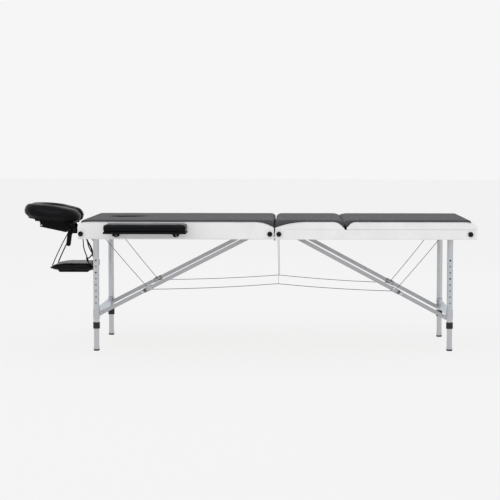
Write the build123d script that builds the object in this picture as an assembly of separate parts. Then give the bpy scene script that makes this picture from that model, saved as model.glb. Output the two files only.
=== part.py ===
from build123d import *
import math
import os

# Portable massage table: two hinged halves on folding, telescoping aluminium legs, with a
# lifting backrest, a tilting headrest, an arm shelf and two side armrests.
# Drawn in millimetres with x = 0 at the centre fold, y = 0 at mid-width and z = 0 on the floor.
# Everything is moved by FOLD_X on writing, which puts the origin under the middle of the box.

# ---- driving dimensions ----
HEAD_LEN = 920.0          # head half, fold line to end
FOOT_LEN = 940.0          # foot half, fold line to end
SEAT_LEN = 326.0          # seat pad, fold line to its lower end
HALF_W = 340.0            # half of the outer width
FOLD_X = 140.0            # fold line in the written frame
FOLD_GAP = 3.0            # each half stops this far from the fold line
RAIL_Z = 528.0            # underside of the rails
RAIL_H = 46.0
RAIL_T = 18.0
CROSS_T = 20.0
MID_RAIL_X = 322.0        # the middle rail's face under the backrest joint
MID_GAP_Y0, MID_GAP_Y1 = 216.0, 284.0    # gaps in it, where the folded legs and braces lie
BOARD_T = 6.0
SEAM_Z = RAIL_Z + 84.0    # where the side cover meets the top cover
TOP_Z = RAIL_Z + 92.0     # crown of the padding
SKIN = 1.6                # cover thickness
SKIN_GAP = 0.2
CROWN_R = 14.0            # rounding of the pads' top edges
BEVEL = 50.0              # seat pad end, degrees from upright, clears the lifted backrest
BACK_BEVEL = 10.0
HOLE_X, HOLE_LEN, HOLE_W = -720.0, 180.0, 120.0   # breathing hole

LEG_R, LEG_BORE_R = 14.0, 12.58
INNER_R, INNER_BORE_R = 12.5, 11.0
FOOT_R, FOOT_H = 14.0, 18.0   # rubber foot, short enough to stop below the collar
AXLE_Z = RAIL_Z + 13.0    # leg pivots
ANCHOR_Z = RAIL_Z + 32.0  # upper brace pivots
HEAD_LEG_X, HEAD_LEG_Y = -838.0, 302.0
FOOT_LEG_X, FOOT_LEG_Y = 822.0, 266.0
PIVOT_IN = 19.0           # lower brace pivot, inboard of the leg centre
HEAD_PIVOT_DROP, FOOT_PIVOT_DROP = 365.0, 385.0
HEAD_ANCHOR_X, FOOT_ANCHOR_X = -69.0, 50.0
LINK_T, LINK_H = 10.0, 18.0
LINK_STEP = 14.0          # sideways distance between upper and lower links
LOWER_IN = 22.0           # lower link centre, inboard of the leg centre
EAR_IN = LOWER_IN - LINK_T / 2 - 0.5              # inboard face of the leg clamp's ear
HOLE_PITCH, HOLE_COUNT, TOP_HOLE_Z = 28.7, 8, 427.0
HEAD_CABLE_X, FOOT_CABLE_X = -795.0, 773.0        # where the leg cables leave the rails
CABLE_IN = 10.4           # cable ends, inboard of the upper link's centre
CABLE_RISE = 26.0         # how far the knee-to-knee cable is lifted at the fold
COLLAR_Z0, COLLAR_Z1, TUBE_END_Z = 105.0, 135.0, 120.0
STRETCHER_Z0, STRETCHER_Z1, STRETCHER_T = 150.0, 195.0, 8.0
CLAMP_R = 15.8
PIN_R, PIN_FIT = 4.0, 0.05
AXLE_R = 5.0

FOLD_AXIS_Z = RAIL_Z - 6.0
BACK_AXIS_X, BACK_AXIS_Z = 330.0, RAIL_Z + 41.5
BACK_HINGE_Y = (-150, 150)
FOLD_HINGE_Y = (-250, 0, 250)
HINGE_LEN = 70.0
BARREL_R, HINGE_PIN_R = 3.8, 1.8
PROP_X, PROP_Z, PROP_LEN, PROP_Y, PROP_R = 615.0, RAIL_Z + 28.0, 285.0, 185.0, 6.0

ROD_R, ROD_Y, ROD_Z = 6.0, 75.0, RAIL_Z + 25.0     # headrest rods
SOCKET_R = 9.0            # outside of the sockets that take the headrest and armrest rods
TILT_X, TILT_Z = -987.0, RAIL_Z + 54.0
CLAMP_X, CLAMP_Z = -991.0, RAIL_Z + 28.0
BOLT_R, BOLT_Y = 3.0, 108.0                       # clamp bolt; the shelf's front straps hang from its ends
LEVER_LEN, LEVER_LEAN = 68.0, 9.0                 # lever length, and how far its end leans forward
CRADLE_X0, CRADLE_X1 = -1222.0, -949.0            # face cradle, front and rear
CRADLE_R = 30.0
REST_TILT = 7.0
ARM_ROD_X, ARM_ROD_Z = (-737.0, -459.0), RAIL_Z + 27.0
ARM_X0, ARM_X1, ARM_Y0, ARM_Y1 = -785.0, -401.0, 357.0, 495.0
SHELF_X0, SHELF_X1, SHELF_HALF_W, SHELF_Z0 = -1086.0, -871.0, 122.0, 354.0
SHELF_TOP = 37.0          # top of the shelf pad above SHELF_Z0
STRAP_Y = 95.0            # front straps' distance from mid-width
REAR_STRAP_X = -934.0     # rear straps' upper ends

NODES = {}


# ---- small shape helpers ----
def box(x0, x1, y0, y1, z0, z1):
    """A block between two corners."""
    block = Box(abs(x1 - x0), abs(y1 - y0), abs(z1 - z0))
    return Pos((x0 + x1) / 2, (y0 + y1) / 2, (z0 + z1) / 2) * block


def rod(start, end, radius):
    """A solid round bar from start to end."""
    a, b = Vector(*start), Vector(*end)
    plane = Plane(origin=a, z_dir=(b - a))
    return extrude(plane * Circle(radius), amount=(b - a).length)


def rod_y(x, z, y0, y1, radius):
    """A round bar along Y."""
    return rod((x, min(y0, y1), z), (x, max(y0, y1), z), radius)


def pipe(x, y, z0, z1, outer, inner):
    """An upright tube."""
    return rod((x, y, z0), (x, y, z1), outer) - rod((x, y, z0), (x, y, z1), inner)


def side_plate(points, y0, y1):
    """A plate whose outline is given in x and z, from y0 to y1."""
    plane = Plane(origin=(0, max(y0, y1), 0), x_dir=(1, 0, 0), z_dir=(0, -1, 0))
    return extrude(plane * make_face(Polyline(*points, close=True)), amount=abs(y1 - y0))


def link(p, q, y, height, thick, start=0.0, stop=0.0):
    """A flat link with round ends between two x, z points."""
    length = math.hypot(q[0] - p[0], q[1] - p[1])
    turn = -math.degrees(math.atan2(q[1] - p[1], q[0] - p[0]))
    mid = (length - stop + start) / 2
    bar = Pos(mid, 0, 0) * Box(length - start - stop, thick, height)
    if start == 0:
        bar += rod_y(0, 0, -thick / 2, thick / 2, height / 2)
    if stop == 0:
        bar += rod_y(length, 0, -thick / 2, thick / 2, height / 2)
    return Pos(p[0], y, p[1]) * Rot(0, turn, 0) * bar


def rounded_block(x0, x1, y0, y1, z0, z1, corner, edge):
    """A cushion-like block with upright corners and all other edges rounded."""
    block = box(x0, x1, y0, y1, z0, z1)
    block = fillet(block.edges().filter_by(Axis.Z), corner)
    rims = block.edges().filter_by(lambda e: abs(e.tangent_at(0).Z) < 0.01 and abs(e.tangent_at(1).Z) < 0.01)
    return fillet(rims, edge)


def both(shape):
    """A shape and its mirror image across the table's long mid-plane."""
    return [shape, mirror(shape, about=Plane.XZ)]


def save(name, *shapes):
    """Collects every solid of a node."""
    flat = []
    for shape in shapes:
        items = shape if isinstance(shape, (list, tuple)) else [shape]
        for item in items:
            flat.extend(item.solids())
    NODES[name] = Compound(flat)


# ---- padding: board, foam, top cover and side cover ----
def pad_block(outline, half_w, top, radius):
    """A pad with the given x, z outline and rounded top edges."""
    block = side_plate(outline, -half_w, half_w)
    rims = block.edges().filter_by(lambda e: abs(e.center().Z - top) < 0.01)
    return fillet(rims, radius)


def inset(points, low, high, side):
    """The four-point pad outline moved inwards: ends by side, floor by low, crown by high."""
    (ax, az), (bx, bz), (cx, cz), (dx, dz) = points
    slope = (cx - bx) / (cz - bz)
    new_b = (bx - side + slope * low, bz + low)
    new_c = (cx - side - slope * high, cz - high)
    return [(ax + side + (dx - ax) * low / (dz - az), az + low), new_b, new_c, (dx + side, dz - high)]


def breathing_hole(z0, z1, grow=0.0):
    """The oval hole a face looks down through."""
    radius = HOLE_W / 2 + grow
    reach = (HOLE_LEN - HOLE_W) / 2
    hole = box(HOLE_X - reach, HOLE_X + reach, -radius, radius, z0, z1)
    for x in (HOLE_X - reach, HOLE_X + reach):
        hole += rod((x, 0, z0), (x, 0, z1), radius)
    return hole


def head_padding():
    x0, x1 = -HEAD_LEN, -FOLD_GAP
    board_z = RAIL_Z + RAIL_H
    inner = SKIN + SKIN_GAP
    outline = [(x0, board_z), (x1, board_z), (x1, TOP_Z), (x0, TOP_Z)]
    shell = pad_block(outline, HALF_W, TOP_Z, CROWN_R)
    core = pad_block(inset(outline, 0, SKIN, SKIN), HALF_W - SKIN, TOP_Z - SKIN, CROWN_R - SKIN)
    top = (shell - core) & box(x0 - 1, x1 + 1, -HALF_W - 1, HALF_W + 1, SEAM_Z, TOP_Z + 1)
    core_outline = inset(outline, BOARD_T + SKIN_GAP, inner, inner)
    foam = pad_block(core_outline, HALF_W - inner, TOP_Z - inner, CROWN_R - inner)
    board = box(x0 + inner, x1 - inner, -HALF_W + inner, HALF_W - inner, board_z, board_z + BOARD_T)
    ring = box(x0, x1, -HALF_W, HALF_W, RAIL_Z, SEAM_Z - SKIN_GAP)
    ring -= box(x0 + SKIN, x1 - SKIN, -HALF_W + SKIN, HALF_W - SKIN, RAIL_Z - 1, SEAM_Z + 1)
    for x in ARM_ROD_X:
        ring -= rod_y(x, ARM_ROD_Z, -HALF_W - 5, HALF_W + 5, SOCKET_R + SKIN_GAP)
    for y in (-ROD_Y, ROD_Y):
        ring -= rod((x0 - 5, y, ROD_Z), (x0 + 5, y, ROD_Z), SOCKET_R + SKIN_GAP)
    hole = breathing_hole(RAIL_Z, TOP_Z + 5)
    save("head_board", board - hole)
    save("head_foam", foam - breathing_hole(RAIL_Z, TOP_Z + 5, SKIN + SKIN_GAP))
    liner = breathing_hole(SEAM_Z, TOP_Z, SKIN) - hole
    save("head_top_cover", top - breathing_hole(RAIL_Z, TOP_Z + 5, SKIN) + liner)
    save("head_side_cover", ring)


def seat_outline():
    board_z = RAIL_Z + RAIL_H
    lean = (TOP_Z - board_z) * math.tan(math.radians(BEVEL))
    return [(FOLD_GAP, board_z), (SEAT_LEN, board_z), (SEAT_LEN - lean, TOP_Z), (FOLD_GAP, TOP_Z)]


def foot_padding():
    outline = seat_outline()
    board_z = RAIL_Z + RAIL_H
    inner = SKIN + SKIN_GAP
    shell = pad_block(outline, HALF_W, TOP_Z, CROWN_R)
    core = pad_block(inset(outline, 0, SKIN, SKIN), HALF_W - SKIN, TOP_Z - SKIN, CROWN_R - SKIN)
    skin = shell - core
    top = skin & box(0, SEAT_LEN, -HALF_W - 1, HALF_W + 1, SEAM_Z, TOP_Z + 1)
    side = skin & box(0, SEAT_LEN + 1, -HALF_W - 1, HALF_W + 1, board_z, SEAM_Z - SKIN_GAP)
    ring = box(FOLD_GAP, FOOT_LEN, -HALF_W, HALF_W, RAIL_Z, board_z)
    ring -= box(FOLD_GAP + SKIN, FOOT_LEN - SKIN, -HALF_W + SKIN, HALF_W - SKIN, RAIL_Z - 1, board_z + 1)
    foam = pad_block(
        inset(outline, BOARD_T + SKIN_GAP, inner, inner + 0.6), HALF_W - inner, TOP_Z - inner, CROWN_R - inner
    )
    save("seat_foam", foam)
    board_y = HALF_W - inner
    save("seat_board", box(FOLD_GAP + inner, SEAT_LEN - 10, -board_y, board_y, board_z, board_z + BOARD_T))
    save("seat_top_cover", top)
    save("foot_side_cover", side + ring)


def backrest_padding():
    x0 = BACK_AXIS_X + 5.0
    low = RAIL_Z + RAIL_H + 0.4
    inner = SKIN + SKIN_GAP
    lean = (TOP_Z - low) * math.tan(math.radians(BACK_BEVEL))
    outline = [(x0, low), (FOOT_LEN, low), (FOOT_LEN, TOP_Z), (x0 + lean, TOP_Z)]
    shell = pad_block(outline, HALF_W, TOP_Z, CROWN_R)
    core = pad_block(inset(outline, 0, SKIN, SKIN), HALF_W - SKIN, TOP_Z - SKIN, CROWN_R - SKIN)
    skin = shell - core
    above = box(x0 - 1, FOOT_LEN + 1, -HALF_W - 1, HALF_W + 1, SEAM_Z, TOP_Z + 1)
    below = box(x0 - 1, FOOT_LEN + 1, -HALF_W - 1, HALF_W + 1, low - 1, SEAM_Z - SKIN_GAP)
    foam = pad_block(
        inset(outline, BOARD_T + SKIN_GAP, inner, inner + 0.4), HALF_W - inner, TOP_Z - inner, CROWN_R - inner
    )
    save("backrest_top_cover", skin & above)
    save("backrest_side_cover", skin & below)
    save("backrest_foam", foam)
    save("backrest_board", box(x0 + 4, FOOT_LEN - inner, -HALF_W + inner, HALF_W - inner, low, low + BOARD_T))


# ---- frames ----
def frame_rails():
    edge = HALF_W - SKIN - SKIN_GAP
    side = edge - RAIL_T
    inner = SKIN + SKIN_GAP
    z1 = RAIL_Z + RAIL_H
    head0, head1 = -HEAD_LEN + inner, -FOLD_GAP - inner
    foot0, foot1 = FOLD_GAP + inner, FOOT_LEN - inner
    head_side = box(head0, head1, side, edge, RAIL_Z, z1)
    for x in ARM_ROD_X:
        head_side -= rod_y(x, ARM_ROD_Z, side + 1.0, edge + 1, SOCKET_R)
    head_end = box(head0, head0 + CROSS_T, -side, side, RAIL_Z, z1)
    for y in (-ROD_Y, ROD_Y):
        head_end -= rod((head0 - 1, y, ROD_Z), (head0 + CROSS_T + 1, y, ROD_Z), SOCKET_R)
    head_fold = box(head1 - CROSS_T, head1, -side, side, RAIL_Z, z1)
    save("head_rails", both(head_side), head_end, head_fold)
    foot_side = box(foot0, foot1, side, edge, RAIL_Z, z1)
    foot_end = box(foot1 - CROSS_T, foot1, -side, side, RAIL_Z, z1)
    foot_fold = box(foot0, foot0 + CROSS_T, -side, side, RAIL_Z, z1)
    mid_centre = box(MID_RAIL_X - CROSS_T, MID_RAIL_X, -MID_GAP_Y0, MID_GAP_Y0, RAIL_Z, z1)
    mid_end = box(MID_RAIL_X - CROSS_T, MID_RAIL_X, MID_GAP_Y1, side, RAIL_Z, z1)
    save("foot_rails", both(foot_side), foot_end, foot_fold, mid_centre, both(mid_end))


# ---- hinges ----
def knuckle_spans(y_mid, length, moving):
    """Where one leaf's two or three knuckles start and stop."""
    step = length / 5
    picks = (1, 3) if moving else (0, 2, 4)
    knuckles = []
    for i in picks:
        y0 = y_mid - length / 2 + i * step + 0.2
        y1 = y0 + step - 0.4
        knuckles.append((y0, y1))
    return knuckles


def hinge_leaf(x, z, y_mid, length, moving, plate, web):
    """A leaf: one flat plate, and a web and a barrel at each of its knuckles."""
    px0, px1, pz0, pz1 = plate
    wx0, wx1, wz0, wz1 = web
    leaf = box(px0, px1, y_mid - length / 2, y_mid + length / 2, pz0, pz1)
    for y0, y1 in knuckle_spans(y_mid, length, moving):
        leaf += rod_y(x, z, y0, y1, BARREL_R)
        leaf += box(wx0, wx1, y0, y1, wz0, wz1)
    return leaf - rod_y(x, z, y_mid - length, y_mid + length, HINGE_PIN_R + PIN_FIT)


def hinge_pin(x, z, y_mid):
    return rod_y(x, z, y_mid - HINGE_LEN / 2, y_mid + HINGE_LEN / 2, HINGE_PIN_R)


def fold_hinges(sign):
    """The leaves under one half's fold rail."""
    z = FOLD_AXIS_Z
    inner, outer = sign * 4.8, sign * 32.0
    plate = (min(inner, outer), max(inner, outer), RAIL_Z - 2.4, RAIL_Z - 0.1)
    web = (min(0, inner * 1.2), max(0, inner * 1.2), RAIL_Z - 4.4, RAIL_Z - 2.4)
    return [hinge_leaf(0, z, y, HINGE_LEN, sign > 0, plate, web) for y in FOLD_HINGE_Y]


def back_hinges(moving):
    """Fixed leaves stand on the middle rail; moving leaves lie under the backrest board."""
    x, z = BACK_AXIS_X, BACK_AXIS_Z
    board = RAIL_Z + RAIL_H + 0.4
    if moving:
        plate = (x + 4.6, x + 40, board - 2.2, board)
        web = (x, x + 5, board - 2.2, z + 3.8)
    else:
        plate = (MID_RAIL_X, MID_RAIL_X + 2.4, z - 26, z + 2)
        web = (MID_RAIL_X + 1, x, z - 2, z)
    return [hinge_leaf(x, z, y, HINGE_LEN, moving, plate, web) for y in BACK_HINGE_Y]


# ---- leg frames ----
def leg_tube(x, y):
    """An outer leg tube with its axle bore and a column of height holes facing outwards."""
    out = math.copysign(1, y)
    tube = pipe(x, y, TUBE_END_Z, AXLE_Z + 15, LEG_R, LEG_BORE_R)
    tube -= rod_y(x, AXLE_Z, y - 20, y + 20, AXLE_R + PIN_FIT)
    for i in range(HOLE_COUNT):
        tube -= rod_y(x, TOP_HOLE_Z - i * HOLE_PITCH, y, y + out * 20, 4.2)
    return tube


def leg_collar(x, y):
    """The plastic guide at the bottom of an outer tube."""
    collar = pipe(x, y, COLLAR_Z0, COLLAR_Z1, 16.0, LEG_R)
    return collar + pipe(x, y, COLLAR_Z0, TUBE_END_Z - 0.1, 15.0, INNER_R + PIN_FIT)


def leg_clamp(x, y, sign, pivot_z):
    """A band round the leg with an ear and a pin for the lower brace; sign points inboard."""
    out = math.copysign(1, y)
    band = pipe(x, y, STRETCHER_Z0, STRETCHER_Z1, CLAMP_R, LEG_R)
    px = x + sign * PIVOT_IN
    link_face = y - out * EAR_IN
    ear = rod_y(px, pivot_z, link_face, link_face + out * 6, 10)
    ear += box(x, px, link_face, link_face + out * 6, pivot_z - 10, pivot_z + 10)
    ear -= rod((x, y, pivot_z - 40), (x, y, pivot_z + 40), LEG_R)
    pin = rod_y(px, pivot_z, link_face + out, y - out * (LOWER_IN + LINK_T / 2), PIN_R)
    return band + ear + pin


def leg_frame(name, x, leg_y, drop):
    """One end's two outer tubes, stretcher plate, clamps and collars."""
    inboard = 1 if x < 0 else -1
    pivot_z = AXLE_Z - drop
    tubes, fittings = [], []
    for y in (-leg_y, leg_y):
        tubes.append(leg_tube(x, y))
        fittings.append(leg_collar(x, y))
        fittings.append(leg_clamp(x, y, inboard, pivot_z))
    reach = leg_y - EAR_IN
    save(name + "_leg_tubes", tubes)
    half_t = STRETCHER_T / 2
    save(name + "_stretcher", box(x - half_t, x + half_t, -reach, reach, STRETCHER_Z0, STRETCHER_Z1))
    save(name + "_leg_fittings", fittings)


def leg_extension(name, x, y, button_hole):
    """Inner tube with its rubber foot, and the spring button that locks it."""
    out = math.copysign(1, y)
    button_z = TOP_HOLE_Z - button_hole * HOLE_PITCH
    tube = pipe(x, y, 8.0, button_z + 35, INNER_R, INNER_BORE_R)
    tube -= rod_y(x, button_z, y, y + out * 20, 4.0)
    foot = rod((x, y, 0), (x, y, FOOT_H), FOOT_R) - rod((x, y, 8.0), (x, y, FOOT_H + 1), INNER_R)
    foot = chamfer(foot.edges().filter_by(lambda e: abs(e.center().Z) < 0.01), 1.5)
    save(name + "_leg_extension", tube, foot)
    button = rod_y(x, button_z, y + out * 7, y + out * 15.5, 3.9)
    button += rod_y(x, button_z, y + out * 5.5, y + out * 7, 5.5)
    cap = Pos(x, y + out * 14.6, button_z) * Sphere(3.9)
    button += cap & box(x - 5, x + 5, y + out * 17.2 - 3, y + out * 17.2 + 3, button_z - 5, button_z + 5)
    save(name + "_leg_button", button)


# ---- folding braces ----
def brace_points(leg_x, drop, anchor_x):
    """Pivot, knee and anchor in x, z, with link lengths that let the legs fold flat."""
    inboard = 1 if leg_x < 0 else -1
    pivot = (leg_x + inboard * PIVOT_IN, AXLE_Z - drop)
    anchor = (anchor_x, ANCHOR_Z)
    span = math.hypot(anchor[0] - pivot[0], anchor[1] - pivot[1])
    folded = abs(anchor_x - leg_x) - drop
    upper = (span + folded) / 2
    share = upper / span
    knee = (anchor[0] + (pivot[0] - anchor[0]) * share, anchor[1] + (pivot[1] - anchor[1]) * share)
    return pivot, knee, anchor


def knee_clamp_point(knee, anchor, along=30.0, off=0.0):
    """A point on the upper link, measured up from the knee, and off it to one side."""
    span = math.hypot(anchor[0] - knee[0], anchor[1] - knee[1])
    ux, uz = (anchor[0] - knee[0]) / span, (anchor[1] - knee[1]) / span
    side = 1 if ux > 0 else -1
    return (knee[0] + ux * along - side * uz * off, knee[1] + uz * along + side * ux * off)


def braces(name, leg_x, leg_y, drop, anchor_x):
    """The lower and upper links of both sides, the cable clamp on each knee, and the knee bosses."""
    pivot, knee, anchor = brace_points(leg_x, drop, anchor_x)
    low_y = leg_y - LOWER_IN
    up_y = low_y - LINK_STEP
    lower = link(pivot, knee, low_y, LINK_H, LINK_T)
    lower -= rod_y(pivot[0], pivot[1], low_y - 10, low_y + 10, PIN_R + PIN_FIT)
    lower += rod_y(knee[0], knee[1], low_y - LINK_T / 2 - 1.8, low_y, 5.0)
    upper = link(anchor, knee, up_y, LINK_H, LINK_T)
    upper -= rod_y(anchor[0], anchor[1], up_y - 10, up_y + 10, PIN_R + PIN_FIT)
    upper += rod_y(knee[0], knee[1], up_y, up_y + LINK_T / 2 + 1.8, 5.0)
    c0, c1 = knee_clamp_point(knee, anchor, 12.0), knee_clamp_point(knee, anchor, 50.0)
    clamp = link(c0, c1, up_y, 22.0, 13.0, 0.01, 0.01) - link(anchor, knee, up_y, LINK_H, LINK_T)
    save(name + "_lower_braces", both(lower))
    save(name + "_upper_braces", both(upper), both(clamp))
    return knee, anchor, up_y


def leg_hanger(leg_x, leg_y):
    """A bracket hung from the side rail, and the axle the leg turns on."""
    rail = HALF_W - SKIN - SKIN_GAP - RAIL_T
    near, far = leg_y - LEG_R - 0.8, leg_y + LEG_R + 0.8
    roomy = rail - far > 4
    low, bridge_z = AXLE_Z - 10, AXLE_Z + 23
    hanger = box(leg_x - 22, leg_x + 22, near - 3, rail, bridge_z, bridge_z + 3)
    hanger += box(leg_x - 16, leg_x + 16, near - 3, near, low, bridge_z)
    if roomy:
        hanger += box(leg_x - 16, leg_x + 16, far, far + 3, low, bridge_z)
    flange = 2.5 if roomy else 1.5
    hanger += box(leg_x - 22, leg_x + 22, rail - flange, rail, AXLE_Z + 14, bridge_z + 3)
    hanger -= rod_y(leg_x, AXLE_Z, near - 10, rail + 5, AXLE_R)
    axle = rod_y(leg_x, AXLE_Z, near - 5, far + 6 if roomy else far + 2, AXLE_R)
    return hanger, axle


def brace_anchor(anchor_x, up_y):
    """The lug under the board that holds an upper link, and its pin."""
    board = RAIL_Z + RAIL_H
    ear_y = up_y + LINK_T / 2 + 1
    ear_t = 3.5
    anchor = box(anchor_x - 16, anchor_x + 16, up_y - 8, ear_y + ear_t, board - 2.5, board)
    anchor += box(anchor_x - 9, anchor_x + 9, ear_y, ear_y + ear_t, ANCHOR_Z, board)
    anchor += rod_y(anchor_x, ANCHOR_Z, ear_y, ear_y + ear_t, 9.0)
    anchor -= rod_y(anchor_x, ANCHOR_Z, ear_y - 5, ear_y + 10, PIN_R)
    pin = rod_y(anchor_x, ANCHOR_Z, up_y - LINK_T / 2 - 1, ear_y + ear_t, PIN_R)
    return anchor, pin


def brackets_and_pins(leg_x, leg_y, anchor_x, up_y):
    """Both sides' leg hangers and brace anchors, and the pins in them."""
    hanger, axle = leg_hanger(leg_x, leg_y)
    anchor, pin = brace_anchor(anchor_x, up_y)
    return both(hanger) + both(anchor), both(axle) + both(pin)


# ---- cables ----
def cable(points, radius=1.4):
    """A round cable through a few points, with a ball at each bend."""
    line = rod(points[0], points[1], radius)
    for a, b in zip(points[1:], points[2:]):
        line += Pos(*a) * Sphere(radius) + rod(a, b, radius)
    return line


def cables(head, foot):
    """Leg cables from the rails to each knee, one cable from knee to knee, and its hanging cord."""
    for name, (knee, anchor, up_y), x0 in (("head", head, HEAD_CABLE_X), ("foot", foot, FOOT_CABLE_X)):
        top = knee_clamp_point(knee, anchor, 30.0, 3.0)
        save(name + "_cables", both(cable([(x0, up_y + 30, RAIL_Z + 2), (top[0], up_y - CABLE_IN, top[1])])))
    ends = []
    for knee, anchor, up_y in (head, foot):
        low = knee_clamp_point(knee, anchor, 30.0, -4.0)
        ends.append((low[0], up_y - CABLE_IN, low[1]))
    mid = (18.0, (ends[0][1] + ends[1][1]) / 2, ends[0][2] + CABLE_RISE)
    cord = rod((14.0, mid[1], RAIL_Z - 14), (mid[0], mid[1], mid[2] + 2.5), 1.0)
    save("span_cables", both(cable([ends[0], mid, ends[1]])), both(cord))


# ---- backrest prop ----
def prop():
    """A U-shaped stay under the backrest, its pivot ears, and the notched racks it rests in."""
    x1 = PROP_X + PROP_LEN
    frame = rod_y(x1, PROP_Z, -214, 214, PROP_R)
    for y in (-PROP_Y, PROP_Y):
        frame += rod((PROP_X, y, PROP_Z), (x1, y, PROP_Z), PROP_R - 0.5)
        frame += rod_y(PROP_X, PROP_Z, y - PROP_R, y + PROP_R, 7.5)
        frame -= rod_y(PROP_X, PROP_Z, y - 20, y + 20, 3.0 + PIN_FIT)
    save("prop_frame", frame)
    board = RAIL_Z + RAIL_H + 0.4
    ears = []
    for out in (-1, 1):
        y0, y1 = sorted((out * (PROP_Y + PROP_R + 1), out * (PROP_Y + PROP_R + 5)))
        ear = box(PROP_X - 12, PROP_X + 12, y0, y1, PROP_Z - 8, board)
        ear += box(PROP_X - 18, PROP_X + 18, min(y0, y1 - 22), max(y1, y0 + 22), board - 2.0, board)
        ear += rod_y(PROP_X, PROP_Z, out * (PROP_Y - PROP_R - 1), y1 if out > 0 else y0, 3.0)
        ears.append(ear)
    save("backrest_fittings", ears, back_hinges(True))


def prop_racks():
    """The two notched bars the prop's cross bar rests in."""
    racks = []
    start, end = 600, FOOT_LEN - SKIN - SKIN_GAP - CROSS_T
    notch_pitch, notch_w, notch_z = 32, 10, RAIL_Z + 11
    for out in (-1, 1):
        y0, y1 = sorted((out * 195, out * 215))
        rack = box(start, end, y0, y1, RAIL_Z + 2, RAIL_Z + 16)
        for i in range(8):
            x = start + 12 + i * notch_pitch
            rack -= box(x, x + notch_w, y0 - 1, y1 + 1, notch_z, RAIL_Z + 17)
        racks.append(rack)
    return racks


# ---- outside fittings ----
def bumper(x):
    """A round rubber bumper with its screw on the viewer's long side."""
    z = RAIL_Z + 25
    pad = rod_y(x, z, -HALF_W - 12, -HALF_W, 11.5)
    pad = fillet(pad.edges().filter_by(lambda e: e.center().Y < -HALF_W - 11), 3.0)
    pad -= rod_y(x, z, -HALF_W - 13, -HALF_W - 7, 4.5)
    return [pad, rod_y(x, z, -HALF_W - 9.5, -HALF_W - 7, 4.3)]


def carry_handle(x0, x1):
    """A webbing loop on the far long side."""
    y = HALF_W
    z = RAIL_Z + 12
    reach = y + 30
    outer = [(x0, y), (x1, y), (x1 - 4, y + 6), (x1 - 30, reach), (x0 + 30, reach), (x0 + 4, y + 6)]
    inner = [(x0 + 16, y - 1), (x1 - 16, y - 1), (x1 - 16, y + 3)]
    inner += [(x1 - 34, reach - 4), (x0 + 34, reach - 4), (x0 + 16, y + 3)]
    loop = Pos(0, 0, z - 11) * extrude(make_face(Polyline(*outer, close=True)), amount=22)
    return loop - Pos(0, 0, z - 12) * extrude(make_face(Polyline(*inner, close=True)), amount=24)


def latch(x):
    """A flat catch lever, hinged at its lower edge."""
    y, z = HALF_W + 4.0, RAIL_Z + 6.0
    lever = box(x - 14, x + 14, y - 2, y + 2, z, z + 38) + rod((x - 14, y, z), (x + 14, y, z), 3.0)
    return lever


def headrest_sockets():
    """Two flanged tubes in the end rail that take the headrest's rods."""
    x0, x1 = -HEAD_LEN, -HEAD_LEN + 130
    shapes = []
    for y in (-ROD_Y, ROD_Y):
        tube = rod((x0, y, ROD_Z), (x1, y, ROD_Z), SOCKET_R)
        tube += rod((x0 - 3, y, ROD_Z), (x0, y, ROD_Z), 14.0)
        tube -= rod((x0 - 9, y, ROD_Z), (x1 + 9, y, ROD_Z), ROD_R + PIN_FIT)
        shapes.append(tube)
    return shapes


def armrest_socket(x):
    """A flanged socket in the side rail that takes one armrest rod."""
    tube = rod_y(x, ARM_ROD_Z, HALF_W - SKIN - SKIN_GAP - RAIL_T + 1.0, HALF_W + 2, SOCKET_R)
    tube += rod_y(x, ARM_ROD_Z, HALF_W, HALF_W + 10, 15.5)
    return tube - rod_y(x, ARM_ROD_Z, HALF_W - 18.5, HALF_W + 30, ROD_R + PIN_FIT)


# ---- headrest, arm shelf and armrests ----
def tilted(shape):
    """Turns a shape about the headrest's pivot to its resting tilt, front end up."""
    return Pos(TILT_X, 0, TILT_Z) * Rot(0, REST_TILT, 0) * Pos(-TILT_X, 0, -TILT_Z) * shape


def horseshoe(x0, x1, half_w, z0, z1, corner):
    """A rounded plate with a face opening that runs out at the table end."""
    plate = box(x0, x1, -half_w, half_w, z0, z1)
    plate = fillet(plate.edges().filter_by(Axis.Z), corner)
    mid = (x0 + x1) / 2 - 12
    gap = rod((mid, 0, z0 - 1), (mid, 0, z1 + 1), 58)
    gap += box(mid, x1 + 5, -34, 34, z0 - 1, z1 + 1)
    return plate - gap


def quadrant(y0):
    """A plate under the cradle board: hub, slotted quadrant and the arm to the front screw."""
    y1 = y0 + 6
    steps = [math.radians(angle) for angle in range(150, 301, 6)]
    rim = [(TILT_X + 38 * math.cos(a), TILT_Z + 38 * math.sin(a)) for a in steps]
    plate = side_plate([(TILT_X, TILT_Z)] + rim, y0, y1)
    plate += rod_y(TILT_X, TILT_Z, y0, y1, 6.9)
    plate += box(TILT_X - 24, TILT_X + 8, y0, y1, TILT_Z, TILT_Z + 7)
    plate += link((-1136, TILT_Z - 8), (TILT_X - 28, TILT_Z - 22), (y0 + y1) / 2, 11, 6)
    plate += box(-1144, -1128, y0, y1, TILT_Z - 8, TILT_Z + 7)
    plate -= box(-1100, -900, y0 - 1, y1 + 1, TILT_Z + 7, TILT_Z + 99)
    plate -= rod_y(TILT_X, TILT_Z, y0 - 1, y1 + 1, PIN_R + PIN_FIT)
    return plate - arc_slot(y0)


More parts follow.
